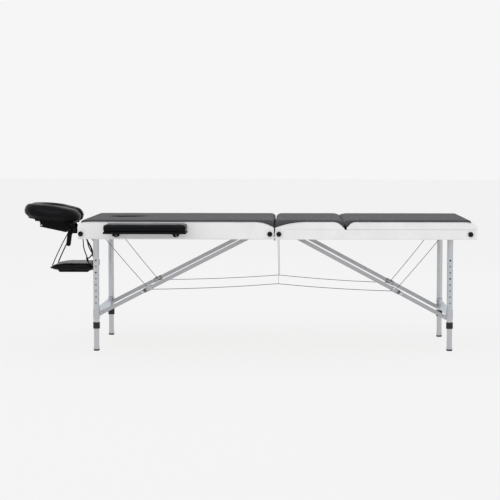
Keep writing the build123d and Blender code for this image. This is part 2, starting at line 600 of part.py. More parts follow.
def cradle_base(out):
    """One cheek plate, the block behind it, and the rod that slides into the table."""
    y0, y1 = out * 60, out * 66
    mid = (y0 + y1) / 2
    cheek = link((CLAMP_X, CLAMP_Z), (TILT_X, TILT_Z), mid, 13.6, 6)
    cheek += link((CLAMP_X, CLAMP_Z), (-962, ROD_Z), mid, 13.6, 6)
    cheek += link((-966, ROD_Z), (TILT_X, TILT_Z), mid, 13.6, 6)
    cheek -= rod_y(TILT_X, TILT_Z, y0 - out, y1 + out, PIN_R)
    cheek -= rod_y(CLAMP_X, CLAMP_Z, y0 - out, y1 + out, BOLT_R)
    block = box(-976, -956, y1, out * 110, ROD_Z - 12, ROD_Z + 12)
    return [cheek + block, rod((-956, out * ROD_Y, ROD_Z), (-800, out * ROD_Y, ROD_Z), ROD_R)]


def headrest():
    low, high = TILT_Z + 13.2, TILT_Z + 77
    cushion = horseshoe(CRADLE_X0, CRADLE_X1, 150, low, high, 90)
    rims = cushion.edges().filter_by(lambda e: abs(e.center().Z - high) < 0.01)
    save("headrest_cushion", tilted(fillet(rims, CRADLE_R)))
    board = horseshoe(CRADLE_X0 + 22, CRADLE_X1 - 16, 128, TILT_Z + 7, TILT_Z + 13, 80)
    save("headrest_platform", tilted(board), tilted(quadrant(-58)), tilted(quadrant(52)))
    save("headrest_base", cradle_base(-1), cradle_base(1))
    tilt_axle = rod_y(TILT_X, TILT_Z, -66, 66, PIN_R)
    save("headrest_pins", tilt_axle, rod_y(CLAMP_X, CLAMP_Z, -BOLT_Y, BOLT_Y, BOLT_R))
    lever = rod_y(CLAMP_X, CLAMP_Z, -79, -67, 12.5)
    lever += link((CLAMP_X, CLAMP_Z), (CLAMP_X - LEVER_LEAN, CLAMP_Z - LEVER_LEN), -75, 22, 8)
    save("headrest_lever", lever - rod_y(CLAMP_X, CLAMP_Z, -90, -60, BOLT_R + PIN_FIT))


def arc_slot(y0):
    """The quadrant's curved slot, centred on the tilt pivot."""
    radius = math.hypot(CLAMP_X - TILT_X, CLAMP_Z - TILT_Z)
    half_slot = BOLT_R + 0.4
    ring = rod_y(TILT_X, TILT_Z, y0 - 1, y0 + 7, radius + half_slot)
    ring -= rod_y(TILT_X, TILT_Z, y0 - 1, y0 + 7, radius - half_slot)
    at_rest = math.degrees(math.atan2(CLAMP_Z - TILT_Z, CLAMP_X - TILT_X)) % 360
    reach = [(TILT_X, TILT_Z)]
    for a in range(-50, 51, 10):
        angle = math.radians(at_rest + a)
        reach.append((TILT_X + 80 * math.cos(angle), TILT_Z + 80 * math.sin(angle)))
    return ring & side_plate(reach, y0 - 1, y0 + 7)


def strap(start, end, y, width=18.0, thick=1.6):
    """A flat webbing strap between two x, z points."""
    return link(start, end, y, thick, width, 0.01, 0.01)


def arm_shelf():
    z0 = SHELF_Z0
    board = box(SHELF_X0 + 8, SHELF_X1 - 8, -SHELF_HALF_W + 8, SHELF_HALF_W - 8, z0, z0 + 6)
    pad = rounded_block(SHELF_X0, SHELF_X1, -SHELF_HALF_W, SHELF_HALF_W, z0 + 6.2, z0 + SHELF_TOP, 30, 12)
    save("shelf_board", board)
    save("shelf_pad", pad)
    low = z0 + SHELF_TOP + 2
    straps = []
    for y in (-STRAP_Y, STRAP_Y):
        straps.append(strap((SHELF_X0 + 14, low), (CLAMP_X - 5, CLAMP_Z - 6), y))
    for y in (-ROD_Y, ROD_Y):
        straps.append(strap((SHELF_X1 - 26, low), (REAR_STRAP_X, ROD_Z - ROD_R - 2), y))
    save("shelf_straps", straps)


def armrest(name, out):
    y0, y1 = sorted((out * ARM_Y0, out * ARM_Y1))
    z0 = ARM_ROD_Z + ROD_R
    rods = []
    for x in ARM_ROD_X:
        rods.append(rod_y(x, ARM_ROD_Z, out * (HALF_W - 18), out * (ARM_Y1 - 30), ROD_R))
    board = box(ARM_X0 + 14, ARM_X1 - 14, y0 + 12, y1 - 12, z0, z0 + 7)
    save(name + "_frame", rods)
    save(name + "_pad", rounded_block(ARM_X0, ARM_X1, y0, y1, z0 + 7.2, z0 + 45, 14, 9), board)


# ---- assembly ----
def build():
    head_padding()
    foot_padding()
    backrest_padding()
    frame_rails()
    leg_frame("head", HEAD_LEG_X, HEAD_LEG_Y, HEAD_PIVOT_DROP)
    leg_frame("foot", FOOT_LEG_X, FOOT_LEG_Y, FOOT_PIVOT_DROP)
    leg_extension("head_near", HEAD_LEG_X, -HEAD_LEG_Y, 2)
    leg_extension("head_far", HEAD_LEG_X, HEAD_LEG_Y, 2)
    leg_extension("foot_near", FOOT_LEG_X, -FOOT_LEG_Y, 3)
    leg_extension("foot_far", FOOT_LEG_X, FOOT_LEG_Y, 3)
    head = braces("head", HEAD_LEG_X, HEAD_LEG_Y, HEAD_PIVOT_DROP, HEAD_ANCHOR_X)
    foot = braces("foot", FOOT_LEG_X, FOOT_LEG_Y, FOOT_PIVOT_DROP, FOOT_ANCHOR_X)
    cables(head, foot)
    head_brackets, head_pins = brackets_and_pins(HEAD_LEG_X, HEAD_LEG_Y, HEAD_ANCHOR_X, head[2])
    foot_brackets, foot_pins = brackets_and_pins(FOOT_LEG_X, FOOT_LEG_Y, FOOT_ANCHOR_X, foot[2])
    fold_pins = [hinge_pin(0, FOLD_AXIS_Z, y) for y in FOLD_HINGE_Y]
    back_pins = [hinge_pin(BACK_AXIS_X, BACK_AXIS_Z, y) for y in BACK_HINGE_Y]
    save("head_brackets", head_brackets, fold_hinges(-1))
    save("head_pins", head_pins, fold_pins)
    save("foot_brackets", foot_brackets, fold_hinges(1), back_hinges(False), prop_racks())
    save("foot_pins", foot_pins, back_pins)
    flanges = []
    for x in ARM_ROD_X:
        flanges.extend(both(armrest_socket(x)))
    catches = [box(x - 15, x + 15, HALF_W, HALF_W + 5, RAIL_Z + 14, RAIL_Z + 34) for x in (-880, -80)]
    save("head_fittings", headrest_sockets(), flanges, catches)
    save("head_bumpers", bumper(-905), bumper(-22))
    save("foot_bumpers", bumper(20), bumper(909))
    save("head_carry_handle", carry_handle(-380, -200))
    save("foot_carry_handle", carry_handle(200, 380))
    save("latch_outer", latch(880))
    save("latch_inner", latch(80))
    prop()
    headrest()
    arm_shelf()
    armrest("armrest_near", -1)
    armrest("armrest_far", 1)


build()
os.makedirs("parts", exist_ok=True)
for node_name, shape in NODES.items():
    export_step(Pos(FOLD_X, 0, 0) * shape, os.path.join("parts", node_name + ".step"))
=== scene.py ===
"""The looks of a portable massage table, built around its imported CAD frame."""

import math

import bmesh
import bpy
import numpy as np
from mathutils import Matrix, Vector
from mathutils.bvhtree import BVHTree


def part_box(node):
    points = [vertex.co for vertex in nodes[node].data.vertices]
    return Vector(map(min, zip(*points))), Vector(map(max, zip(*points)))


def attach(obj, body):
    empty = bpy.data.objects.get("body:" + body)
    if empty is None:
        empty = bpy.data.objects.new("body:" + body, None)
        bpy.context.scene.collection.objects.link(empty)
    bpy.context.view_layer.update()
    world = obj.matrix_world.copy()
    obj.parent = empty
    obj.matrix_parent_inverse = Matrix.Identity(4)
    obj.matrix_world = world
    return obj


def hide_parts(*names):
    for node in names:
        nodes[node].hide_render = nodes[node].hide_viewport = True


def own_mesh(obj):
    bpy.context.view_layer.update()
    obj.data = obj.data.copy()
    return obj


MM = 0.001
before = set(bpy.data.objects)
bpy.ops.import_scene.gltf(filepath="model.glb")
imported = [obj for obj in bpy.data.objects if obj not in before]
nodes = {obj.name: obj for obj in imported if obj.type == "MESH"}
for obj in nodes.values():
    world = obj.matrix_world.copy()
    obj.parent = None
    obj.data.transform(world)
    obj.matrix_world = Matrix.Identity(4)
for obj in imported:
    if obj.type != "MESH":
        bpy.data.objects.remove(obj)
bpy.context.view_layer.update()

# ---- places taken from the frame ----
head_lo, head_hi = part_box("head_side_cover")
foot_lo, foot_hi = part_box("foot_side_cover")
seat_lo, seat_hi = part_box("seat_top_cover")
back_lo, back_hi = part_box("backrest_side_cover")
rail_lo, rail_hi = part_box("foot_rails")
HALF_W = head_hi.y
RAIL_Z = head_lo.z
RAIL_TOP = rail_hi.z
SEAM_Z = head_hi.z
CROWN_Z = SEAM_Z + 7.5 * MM
FOLD_X = (head_hi.x + foot_lo.x) / 2
SEAT_X1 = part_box("seat_board")[1].x + 10 * MM
HOLE_X, HOLE_LEN, HOLE_W = FOLD_X - 0.720, 0.180, 0.120
HOLE_REACH = (HOLE_LEN - HOLE_W) / 2       # from the hole's middle to the centres of its two half circles
LIP_WIDTH, LIP_DROP = 9 * MM, 4.5 * MM     # how the cover rolls down into the breathing hole
LIP_Z = CROWN_Z + 1.0 * MM - LIP_DROP
CORNER_R = 4 * MM                          # the pads' upright corners
EDGE_ROUND = 17 * MM                       # rounding along the pads' long sides
END_ROLL, END_REACH = 27 * MM, 0.120       # how high and how deep the white cover rolls over the table's ends
LEG_HOLES, LEG_HOLE_PITCH = 8, 28.7 * MM   # the row of height holes in each leg
TOP_HOLE_RISE = 307 * MM                   # from a leg tube's lower end to its top hole
ROD_INSET = 6 * MM                         # from an armrest frame's end to its rod's axis
CRADLE_SLOPE = math.tan(math.radians(7))   # the face cradle's resting tilt
SIDES = (("near", -1), ("far", 1))
ENDS = (("head", 1), ("foot", -1))         # each half, and the way from its end to the fold


# ---- materials ----
def linear(*rgb):
    """Screen colour, 0 to 255, as a linear colour."""
    out = []
    for c in rgb:
        c = c / 255
        out.append(c / 12.92 if c <= 0.04045 else ((c + 0.055) / 1.055) ** 2.4)
    return (*out, 1.0)


class Shader:
    """A material under construction: a Principled shader and short ways to add nodes."""

    def __init__(self, name, colour, rough=0.5, metal=0.0, spec=0.5):
        self.mat = bpy.data.materials.new(name)
        self.mat.use_nodes = True
        self.tree = self.mat.node_tree
        self.out = self.tree.nodes["Principled BSDF"]
        self.colour = colour
        self.set("Base Color", colour)
        self.set("Roughness", rough)
        self.set("Metallic", metal)
        self.set("Specular IOR Level", spec)
        self.coord = self.add("ShaderNodeTexCoord").outputs["Object"]
        self.height = None

    def add(self, kind, **values):
        node = self.tree.nodes.new(kind)
        for key, value in values.items():
            setattr(node, key, value)
        return node

    def set(self, socket, value):
        self.out.inputs[socket].default_value = value

    def link(self, a, b):
        self.tree.links.new(a, b)

    def scaled(self, scale):
        """The object coordinates, stretched by scale along each axis."""
        mapping = self.add("ShaderNodeMapping")
        mapping.inputs["Scale"].default_value = scale
        self.link(self.coord, mapping.inputs["Vector"])
        return mapping.outputs["Vector"]

    def noise(self, scale, detail=4.0, stretch=(1, 1, 1)):
        node = self.add("ShaderNodeTexNoise")
        node.inputs["Scale"].default_value = scale
        node.inputs["Detail"].default_value = detail
        self.link(self.scaled(stretch), node.inputs["Vector"])
        return node.outputs["Fac"]

    def cells(self, scale):
        node = self.add("ShaderNodeTexVoronoi", feature="DISTANCE_TO_EDGE")
        node.inputs["Scale"].default_value = scale
        self.link(self.coord, node.inputs["Vector"])
        return node.outputs["Distance"]

    def wave(self, scale, direction):
        node = self.add("ShaderNodeTexWave", bands_direction=direction)
        node.inputs["Scale"].default_value = scale
        self.link(self.coord, node.inputs["Vector"])
        return node.outputs["Fac"]

    def ramp(self, fac, low, high, a, b):
        """Blends two colours or grey levels while fac goes from a to b."""
        node = self.add("ShaderNodeValToRGB")
        node.color_ramp.elements[0].position = a
        node.color_ramp.elements[1].position = b
        node.color_ramp.elements[0].color = low
        node.color_ramp.elements[1].color = high
        self.link(fac, node.inputs["Fac"])
        return node.outputs["Color"]

    def vary_colour(self, fac, amount):
        """Lets fac swing the base colour darker and lighter by amount."""
        dark = tuple(c * (1 - amount) for c in self.colour[:3]) + (1,)
        light = tuple(min(1, c * (1 + amount)) for c in self.colour[:3]) + (1,)
        self.link(self.ramp(fac, dark, light, 0.3, 0.7), self.out.inputs["Base Color"])

    def vary_rough(self, fac, low, high):
        grey = self.ramp(fac, (low,) * 3 + (1,), (high,) * 3 + (1,), 0.25, 0.75)
        self.link(grey, self.out.inputs["Roughness"])

    def bump(self, height, distance, strength=1.0):
        """Adds a bump layer on top of the ones before it."""
        node = self.add("ShaderNodeBump")
        node.inputs["Distance"].default_value = distance
        node.inputs["Strength"].default_value = strength
        self.link(height, node.inputs["Height"])
        if self.height is not None:
            self.link(self.height, node.inputs["Normal"])
        self.height = node.outputs["Normal"]
        self.link(self.height, self.out.inputs["Normal"])

    def split_by_height(self, z, low_colour, low_rough):
        """Below z the piece takes another colour and finish, as on a tube's rubber end."""
        parts = self.add("ShaderNodeSeparateXYZ")
        self.link(self.coord, parts.inputs["Vector"])
        above = self.add("ShaderNodeMath", operation="GREATER_THAN")
        above.inputs[1].default_value = z
        self.link(parts.outputs["Z"], above.inputs[0])
        for socket, low, high in (
            ("Base Color", low_colour, self.colour),
            ("Roughness", (low_rough,) * 3 + (1,), (0.35, 0.35, 0.35, 1)),
            ("Metallic", (0, 0, 0, 1), (1, 1, 1, 1)),
        ):
            self.link(self.ramp(above.outputs[0], low, high, 0.4, 0.6), self.out.inputs[socket])


def vinyl(name, colour, rough, spec, grain=900.0, depth=0.00012):
    """Upholstery vinyl: pebbled grain, fine creases, and a soft uneven sheen."""
    s = Shader(name, colour, rough, spec=spec)
    s.vary_colour(s.noise(9.0, 3.0), 0.05)
    s.vary_rough(s.noise(60.0), rough - 0.06, rough + 0.08)
    s.bump(s.noise(14.0, 2.0), 0.0012, 0.5)
    s.bump(s.cells(grain), depth, 0.8)
    s.bump(s.noise(grain * 2.2), depth * 0.5, 0.5)
    return s.mat


def metal(name, colour, rough, stretch):
    """Satin metal, brushed along one direction."""
    s = Shader(name, colour, rough, metal=1.0)
    lines = s.noise(220.0, 3.0, stretch)
    s.vary_colour(lines, 0.07)
    s.vary_rough(s.noise(30.0), rough - 0.07, rough + 0.08)
    s.bump(lines, 0.00005, 0.6)
    return s.mat


def plastic(name, colour, rough, spec=0.14):
    """Moulded plastic with a fine spark-eroded grain."""
    s = Shader(name, colour, rough, spec=spec)
    s.vary_colour(s.noise(40.0), 0.12)
    s.vary_rough(s.noise(25.0), rough - 0.06, rough + 0.1)
    s.bump(s.noise(1400.0, 2.0), 0.00008, 0.6)
    return s.mat


def webbing(name, colour):
    """Woven strap: ribs both ways."""
    s = Shader(name, colour, 0.85, spec=0.25)
    s.vary_colour(s.noise(120.0), 0.2)
    s.bump(s.wave(160.0, "Z"), 0.0003, 0.8)
    s.bump(s.wave(220.0, "Y"), 0.0003, 0.7)
    return s.mat


def timber(name, colour, stretch):
    """Varnished wood with grain along the longest stretch."""
    s = Shader(name, colour, 0.45)
    s.vary_colour(s.noise(26.0, 6.0, stretch), 0.28)
    s.bump(s.noise(80.0, 4.0, stretch), 0.0002, 0.4)
    return s.mat


def collar_and_clamp():
    """Leg fittings: black guide collars at the bottom, satin metal clamps above them."""
    s = Shader("leg_collar_and_clamp", linear(186, 188, 191), 0.35, metal=1.0)
    s.bump(s.noise(900.0, 2.0), 0.00006, 0.6)
    s.split_by_height(0.142, linear(6, 6, 7), 0.6)
    return s.mat


def foot_metal():
    """Inner leg tube: satin metal with a dark rubber sole below 8 mm."""
    s = Shader("leg_tube_with_sole", linear(188, 190, 193), 0.35, metal=1.0)
    s.bump(s.noise(220.0, 3.0, (8, 8, 0.4)), 0.00005, 0.6)
    s.split_by_height(0.008, linear(38, 38, 40), 0.8)
    return s.mat


GREY = vinyl("grey_vinyl", linear(74, 73, 76), 0.66, 0.08)
WHITE = vinyl("white_vinyl", linear(226, 226, 226), 0.5, 0.3)
BLACK = vinyl("black_vinyl", linear(7, 8, 11), 0.34, 0.1, 800.0)
HOLE_WALL = vinyl("hole_wall_vinyl", linear(14, 14, 16), 0.7, 0.05)
PIPING = vinyl("grey_piping", linear(66, 65, 68), 0.6, 0.1)
BLACK_PIPING = vinyl("black_piping", linear(7, 7, 10), 0.4, 0.12)
THREAD = webbing("sewing_thread", linear(60, 60, 62))
LEG = metal("satin_aluminium", linear(190, 193, 196), 0.34, (8, 8, 0.4))
LEG_FOOT = foot_metal()
LINK = metal("brushed_link", linear(170, 171, 175), 0.36, (0.5, 8, 6))
STEEL = metal("zinc_steel", linear(176, 177, 180), 0.3, (3, 3, 3))
SCREW = metal("screw_steel", linear(200, 200, 202), 0.22, (3, 3, 3))
STRETCHER = metal("pale_blue_grey_plate", linear(196, 204, 213), 0.42, (8, 0.4, 8))
PLASTIC = plastic("black_plastic", linear(8, 8, 10), 0.45, 0.1)
CLAMP = plastic("dark_clamp", linear(44, 44, 48), 0.5)
CLIP = plastic("grey_clip", linear(96, 98, 102), 0.5)
# Grey painted shade for the lower height holes in the legs.
SHADE = plastic("hole_shade", linear(138, 140, 142), 0.6)
CAP = plastic("pale_end_cap", linear(176, 180, 186), 0.5)
RUBBER = plastic("black_rubber", linear(10, 9, 10), 0.7)
WEB = webbing("black_webbing", linear(18, 18, 20))
CABLE = metal("coated_cable", linear(120, 120, 124), 0.4, (20, 20, 20))
CORD = webbing("light_cord", linear(170, 170, 172))
PLY = timber("plywood", linear(206, 188, 160), (0.6, 6, 6))
BEECH = timber("beech_rail", linear(196, 168, 132), (0.5, 7, 7))
COLLAR = collar_and_clamp()


# ---- mesh helpers ----
def make(name, verts, faces, body, material, slot, replaces=(), smooth=True):
    """A mesh piece that rides on a body."""
    mesh = bpy.data.meshes.new(name)
    mesh.from_pydata([tuple(v) for v in verts], [], [tuple(f) for f in faces])
    bm = bmesh.new()
    bm.from_mesh(mesh)
    bmesh.ops.remove_doubles(bm, verts=bm.verts, dist=1e-6)
    bmesh.ops.recalc_face_normals(bm, faces=bm.faces)
    bm.to_mesh(mesh)
    bm.free()
    mesh.materials.append(material)
    obj = bpy.data.objects.new(name, mesh)
    bpy.context.scene.collection.objects.link(obj)
    if smooth:
        mesh.polygons.foreach_set("use_smooth", [True] * len(mesh.polygons))
    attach(obj, body)
    if replaces:
        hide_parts(*replaces)
    return obj


def apply_modifiers(obj):
    """Bakes every modifier into the mesh."""
    graph = bpy.context.evaluated_depsgraph_get()
    mesh = bpy.data.meshes.new_from_object(obj.evaluated_get(graph))
    obj.modifiers.clear()
    obj.data = mesh
    return obj


def merge(*parts):
    """Several (verts, faces) as one."""
    verts, faces = [], []
    for v, f in parts:
        base = len(verts)
        verts.extend(v)
        faces.extend([[i + base for i in face] for face in f])
    return verts, faces


def sweep(path, section, closed=False, up=None, taper=None):
    """Carries a closed 2-D section along a path. The section's first axis lies along up, if it is given."""
    path = [Vector(p) for p in path]
    n, m = len(path), len(section)
    verts = []
    side = None
    for i, p in enumerate(path):
        before = path[i - 1] if (i > 0 or closed) else p
        after = path[(i + 1) % n] if (i < n - 1 or closed) else p
        along = (after - before).normalized()
        guide = Vector(up) if up is not None else (side or Vector((0.13, 0.21, 0.97)))
        side = (guide - along * guide.dot(along)).normalized()
        other = along.cross(side)
        k = taper(i / (n - 1)) if taper else 1.0
        for a, b in section:
            verts.append(p + side * (a * k) + other * (b * k))
    faces = []
    for i in range(n if closed else n - 1):
        j = (i + 1) % n
        for s in range(m):
            t = (s + 1) % m
            faces.append((i * m + s, i * m + t, j * m + t, j * m + s))
    if not closed:
        faces.append(tuple(range(m))[::-1])
        faces.append(tuple(range((n - 1) * m, n * m)))
    return verts, faces


def round_section(radius, sides=12):
    steps = [2 * math.pi * i / sides for i in range(sides)]
    return [(radius * math.cos(a), radius * math.sin(a)) for a in steps]


def flat_section(width, thick, sides=4):
    """A strap's section with rounded edges."""
    points = []
    for centre, start in ((width / 2 - thick / 2, -90), (-width / 2 + thick / 2, 90)):
        for i in range(sides + 1):
            a = math.radians(start + 180 * i / sides)
            points.append((centre + thick / 2 * math.cos(a), thick / 2 * math.sin(a)))
    return points


def lathe(profile, centre, axis, sides=32):
    """Turns (radius, height) points, in mm, about an axis through centre."""
    axis = Vector(axis).normalized()
    side = axis.orthogonal().normalized()
    other = axis.cross(side)
    verts = []
    for r, h in profile:
        r, h = r * MM, h * MM
        for i in range(sides):
            a = 2 * math.pi * i / sides
            verts.append(Vector(centre) + axis * h + side * (r * math.cos(a)) + other * (r * math.sin(a)))
    faces = []
    for k in range(len(profile) - 1):
        for i in range(sides):
            j = (i + 1) % sides
            faces.append((k * sides + i, k * sides + j, (k + 1) * sides + j, (k + 1) * sides + i))
    faces.append(tuple(range(sides))[::-1])
    last = (len(profile) - 1) * sides
    faces.append(tuple(range(last, last + sides)))
    return verts, faces


def extrude(outline, start, stop):
    """An x, z outline carried from y = start to y = stop."""
    n = len(outline)
    verts = [(x, y, z) for y in (start, stop) for x, z in outline]
    faces = [(i, (i + 1) % n, n + (i + 1) % n, n + i) for i in range(n)]
    return verts, faces + [tuple(range(n))[::-1], tuple(range(n, 2 * n))]


def soften(obj, width, segments):
    """Bevels a piece's edges."""
    bevel = obj.modifiers.new("bevel", "BEVEL")
    bevel.width = width
    bevel.segments = segments
    return apply_modifiers(obj)


def prism(name, outline, half_w, body, material, slot, bevel, middle=0.0):
    """An x, z outline carried across the table by half_w each way, with softened edges."""
    solid = extrude(outline, middle - half_w, middle + half_w)
    obj = make(name, *solid, body, material, slot, (), False)
    return soften(obj, bevel, 3) if bevel else obj


def coords(obj):
    return np.array([v.co for v in obj.data.vertices])


def set_coords(obj, co):
    obj.data.vertices.foreach_set("co", co.astype(np.float32).ravel())
    obj.data.update()


def smoothstep(t):
    t = np.clip(t, 0, 1)
    return t * t * (3 - 2 * t)


def rounded_outline(x0, x1, y0, y1, radius, step=0.012, corner_steps=8):
    """Points round a rectangle with arcs at its corners."""
    points = []
    corners = ((x1 - radius, y1 - radius, 0), (x0 + radius, y1 - radius, 90),
               (x0 + radius, y0 + radius, 180), (x1 - radius, y0 + radius, 270))
    arcs = []
    for cx, cy, start in corners:
        arc = []
        for i in range(corner_steps + 1):
            a = math.radians(start + 90 * i / corner_steps)
            arc.append((cx + radius * math.cos(a), cy + radius * math.sin(a)))
        arcs.append(arc)
    for k, arc in enumerate(arcs):
        points.extend(arc)
        nxt = arcs[(k + 1) % 4][0]
        length = math.dist(arc[-1], nxt)
        count = max(1, int(length / step))
        for i in range(1, count):
            t = i / count
            points.append((arc[-1][0] * (1 - t) + nxt[0] * t, arc[-1][1] * (1 - t) + nxt[1] * t))
    return points


def outline_normals(points):
    """The outward direction at each point of a closed anticlockwise outline."""
    p = np.array(points)
    tangent = np.roll(p, -1, 0) - np.roll(p, 1, 0)
    tangent /= np.linalg.norm(tangent, axis=1)[:, None]
    return np.stack([tangent[:, 1], -tangent[:, 0]], 1)


# ---- the three table pads ----
class Pad:
    """One zone's padding.

    Each end has its x, the rounding of the top there, how far the seam dips and over what reach, how far the
    white cover rolls over it, and how far the top bulges out.
    """

    def __init__(self, start, stop):
        self.x0, self.round0, self.drop0, self.reach0, self.roll0, self.bulge0 = start
        self.x1, self.round1, self.drop1, self.reach1, self.roll1, self.bulge1 = stop
        self.half_w = HALF_W

    def seam(self, x):
        """The seam's height at x: it dips towards the joints."""
        near0 = np.clip(1 - (x - self.x0) / self.reach0, 0, 1)
        near1 = np.clip(1 - (self.x1 - x) / self.reach1, 0, 1)
        return SEAM_Z - self.drop0 * near0 ** 2.3 - self.drop1 * near1 ** 2.3

    def rolled(self, x, share=1.0):
        """x moved inwards at an end where the side cover rolls over; share is how far up the roll it is."""
        near0 = np.clip(1 - (x - self.x0) / END_REACH, 0, 1)
        near1 = np.clip(1 - (self.x1 - x) / END_REACH, 0, 1)
        return x + share * (self.roll0 * near0 ** 2 - self.roll1 * near1 ** 2)

    def roll_share(self, x, z):
        """0 below the roll, 1 at the seam, on a quarter circle."""
        s = np.clip((z - float(self.seam(x)) + END_ROLL) / END_ROLL, 0, 1)
        return 1 - math.sqrt(1 - s * s)

    def outline(self):
        return rounded_outline(self.x0, self.x1, -self.half_w, self.half_w, CORNER_R)

    def seam_line(self, below=0.0):
        """The seam as points round the pad."""
        return [(float(self.rolled(x)), y, float(self.seam(x)) - below) for x, y in self.outline()]


def spread(a, b, edge, fine, coarse):
    """Coordinates from a to b, close together within edge of both ends."""
    n = int(edge / fine)
    start = [a + edge * i / n for i in range(n)]
    m = max(2, int((b - a - 2 * edge) / coarse))
    middle = [a + edge + (b - a - 2 * edge) * i / m for i in range(m + 1)]
    end = [b - edge * i / n for i in range(n)][::-1]
    return np.array(start + middle + end)


def pad_points(pad):
    """The crowned top sheet as a grid of points."""
    xs = spread(pad.x0, pad.x1, 0.045, 0.004, 0.009)
    ys = spread(-pad.half_w, pad.half_w, 0.030, 0.0035, 0.009)
    gx, gy = np.meshgrid(xs, ys, indexing="ij")
    px, py = gx.copy(), gy.copy()
    for cx, sx in ((pad.x0 + CORNER_R, -1), (pad.x1 - CORNER_R, 1)):
        for cy, sy in ((-pad.half_w + CORNER_R, -1), (pad.half_w - CORNER_R, 1)):
            inside = (sx * (gx - cx) > 0) & (sy * (gy - cy) > 0)
            vx, vy = gx - cx, gy - cy
            length = np.hypot(vx, vy) + 1e-12
            scale = np.maximum(np.abs(vx), np.abs(vy)) / length
            px = np.where(inside, cx + vx * scale, px)
            py = np.where(inside, cy + vy * scale, py)
    edge = np.minimum.reduce([
        (gx - pad.x0) / pad.round0,
        (pad.x1 - gx) / pad.round1,
        (pad.half_w - np.abs(gy)) / EDGE_ROUND,
    ])
    lift = (1 - (1 - np.clip(edge, 0, 1)) ** 2.3) ** (1 / 2.3)
    u = (gx - (pad.x0 + pad.x1) / 2) / ((pad.x1 - pad.x0) / 2)
    v = gy / pad.half_w
    crown = 1.0 * MM * (1 - u ** 4) * (1 - v ** 4)
    base = pad.seam(px)
    pz = base + (CROWN_Z - base) * lift + crown
    ripple = np.sin(gx * 37 + np.sin(gy * 23) * 1.7) * np.sin(gy * 31 + np.sin(gx * 19) * 1.3)
    pz += 0.25 * MM * ripple * np.clip(edge, 0, 1)
    t = np.clip((pz - base) / (CROWN_Z - base), 0, 1)
    near0 = smoothstep(1 - (gx - pad.x0) / 0.05)
    near1 = smoothstep(1 - (pad.x1 - gx) / 0.05)
    px = pad.rolled(px) + (pad.bulge1 * near1 - pad.bulge0 * near0) * np.sin(math.pi * t ** 1.4)
    return px, py, pz


def hole_distance(x, y):
    """How far a point is outside the breathing hole's oval."""
    dx = np.maximum(np.abs(x - HOLE_X) - HOLE_REACH, 0)
    return np.hypot(dx, y) - HOLE_W / 2


def hole_ring(grow, z, count=72):
    """The breathing hole's outline, grown by some distance."""
    r = HOLE_W / 2 + grow
    points = []
    for i in range(count):
        a = 2 * math.pi * i / count
        shift = HOLE_REACH if math.cos(a) >= 0 else -HOLE_REACH
        points.append((HOLE_X + shift + r * math.cos(a), r * math.sin(a), z))
    return points


def cut_hole(px, py, pz):
    """Rolls the sheet down round the breathing hole; gives its points and the cells of its grid to keep."""
    nx, ny = px.shape
    margin = 3.5 * MM
    d = hole_distance(px, py)
    lip = np.clip(1 - d / LIP_WIDTH, 0, 1)
    pz = pz - LIP_DROP * (1 - np.sqrt(1 - np.minimum(lip, 0.999) ** 2))
    keep = np.maximum.reduce([d[:-1, :-1], d[1:, :-1], d[:-1, 1:], d[1:, 1:]]) > margin
    used = np.zeros((nx, ny), bool)
    for di in (0, 1):
        for dj in (0, 1):
            used[di:nx - 1 + di, dj:ny - 1 + dj] |= keep
    cx = HOLE_X + np.clip(px - HOLE_X, -HOLE_REACH, HOLE_REACH)
    inside = used & (d < margin)
    length = np.hypot(px - cx, py) + 1e-9
    px = np.where(inside, cx + (px - cx) / length * HOLE_W / 2, px)
    py = np.where(inside, py / length * HOLE_W / 2, py)
    pz = np.where(inside, LIP_Z, pz)
    return px, py, pz, keep


def top_sheet(name, pad, body, replaced, with_hole=False):
    """The grey cover of one pad, a crowned sheet with thickness."""
    px, py, pz = pad_points(pad)
    nx, ny = px.shape
    keep = np.ones((nx - 1, ny - 1), bool)
    if with_hole:
        px, py, pz, keep = cut_hole(px, py, pz)
    verts = np.stack([px.ravel(), py.ravel(), pz.ravel()], 1)
    faces = []
    for i in range(nx - 1):
        for j in range(ny - 1):
            if keep[i, j]:
                a = i * ny + j
                faces.append((a, a + ny, a + ny + 1, a + 1))
    obj = make(name, verts, faces, body, GREY, "top_vinyl")
    bm = bmesh.new()
    bm.from_mesh(obj.data)
    bmesh.ops.delete(bm, geom=[v for v in bm.verts if not v.link_faces], context="VERTS")
    bm.normal_update()
    if sum(f.normal.z for f in bm.faces) < 0:
        bmesh.ops.reverse_faces(bm, faces=bm.faces)
    bm.to_mesh(obj.data)
    bm.free()
    solid = obj.modifiers.new("thickness", "SOLIDIFY")
    solid.thickness = 1.6 * MM
    solid.offset = -1
    apply_modifiers(obj)
    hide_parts(*replaced)
    return obj


def side_band(name, pad, outline, low_z, high_z, body, replaced=(), tuck=True):
    """A wrapped side: a band round an outline from low_z up to high_z, or to the pad's seam if that is None.

    It rolls over with the pad at its plain end, and tuck draws its two edges in a little.
    """
    normals = outline_normals(outline)
    rows = 15
    verts = []
    faces = []
    n = len(outline)
    for (x, y), (nx, ny) in zip(outline, normals):
        top_z = float(pad.seam(x)) if high_z is None else high_z
        for inward in (0, 2.2 * MM):
            order = range(rows) if inward == 0 else range(rows - 1, -1, -1)
            for k in order:
                t = k / (rows - 1)
                z = low_z + (top_z - low_z) * t
                pull = inward + (0.8 * MM * (1 - math.sin(math.pi * t) ** 0.4) if tuck else 0)
                rx = float(pad.rolled(x, pad.roll_share(x, z))) if pad else x
                verts.append((rx - nx * pull, y - ny * pull, z))
    ring = rows * 2
    for i in range(n):
        j = (i + 1) % n
        for k in range(ring):
            m = (k + 1) % ring
            faces.append((i * ring + k, j * ring + k, j * ring + m, i * ring + m))
    return make(name, verts, faces, body, WHITE, "side_vinyl", replaced)


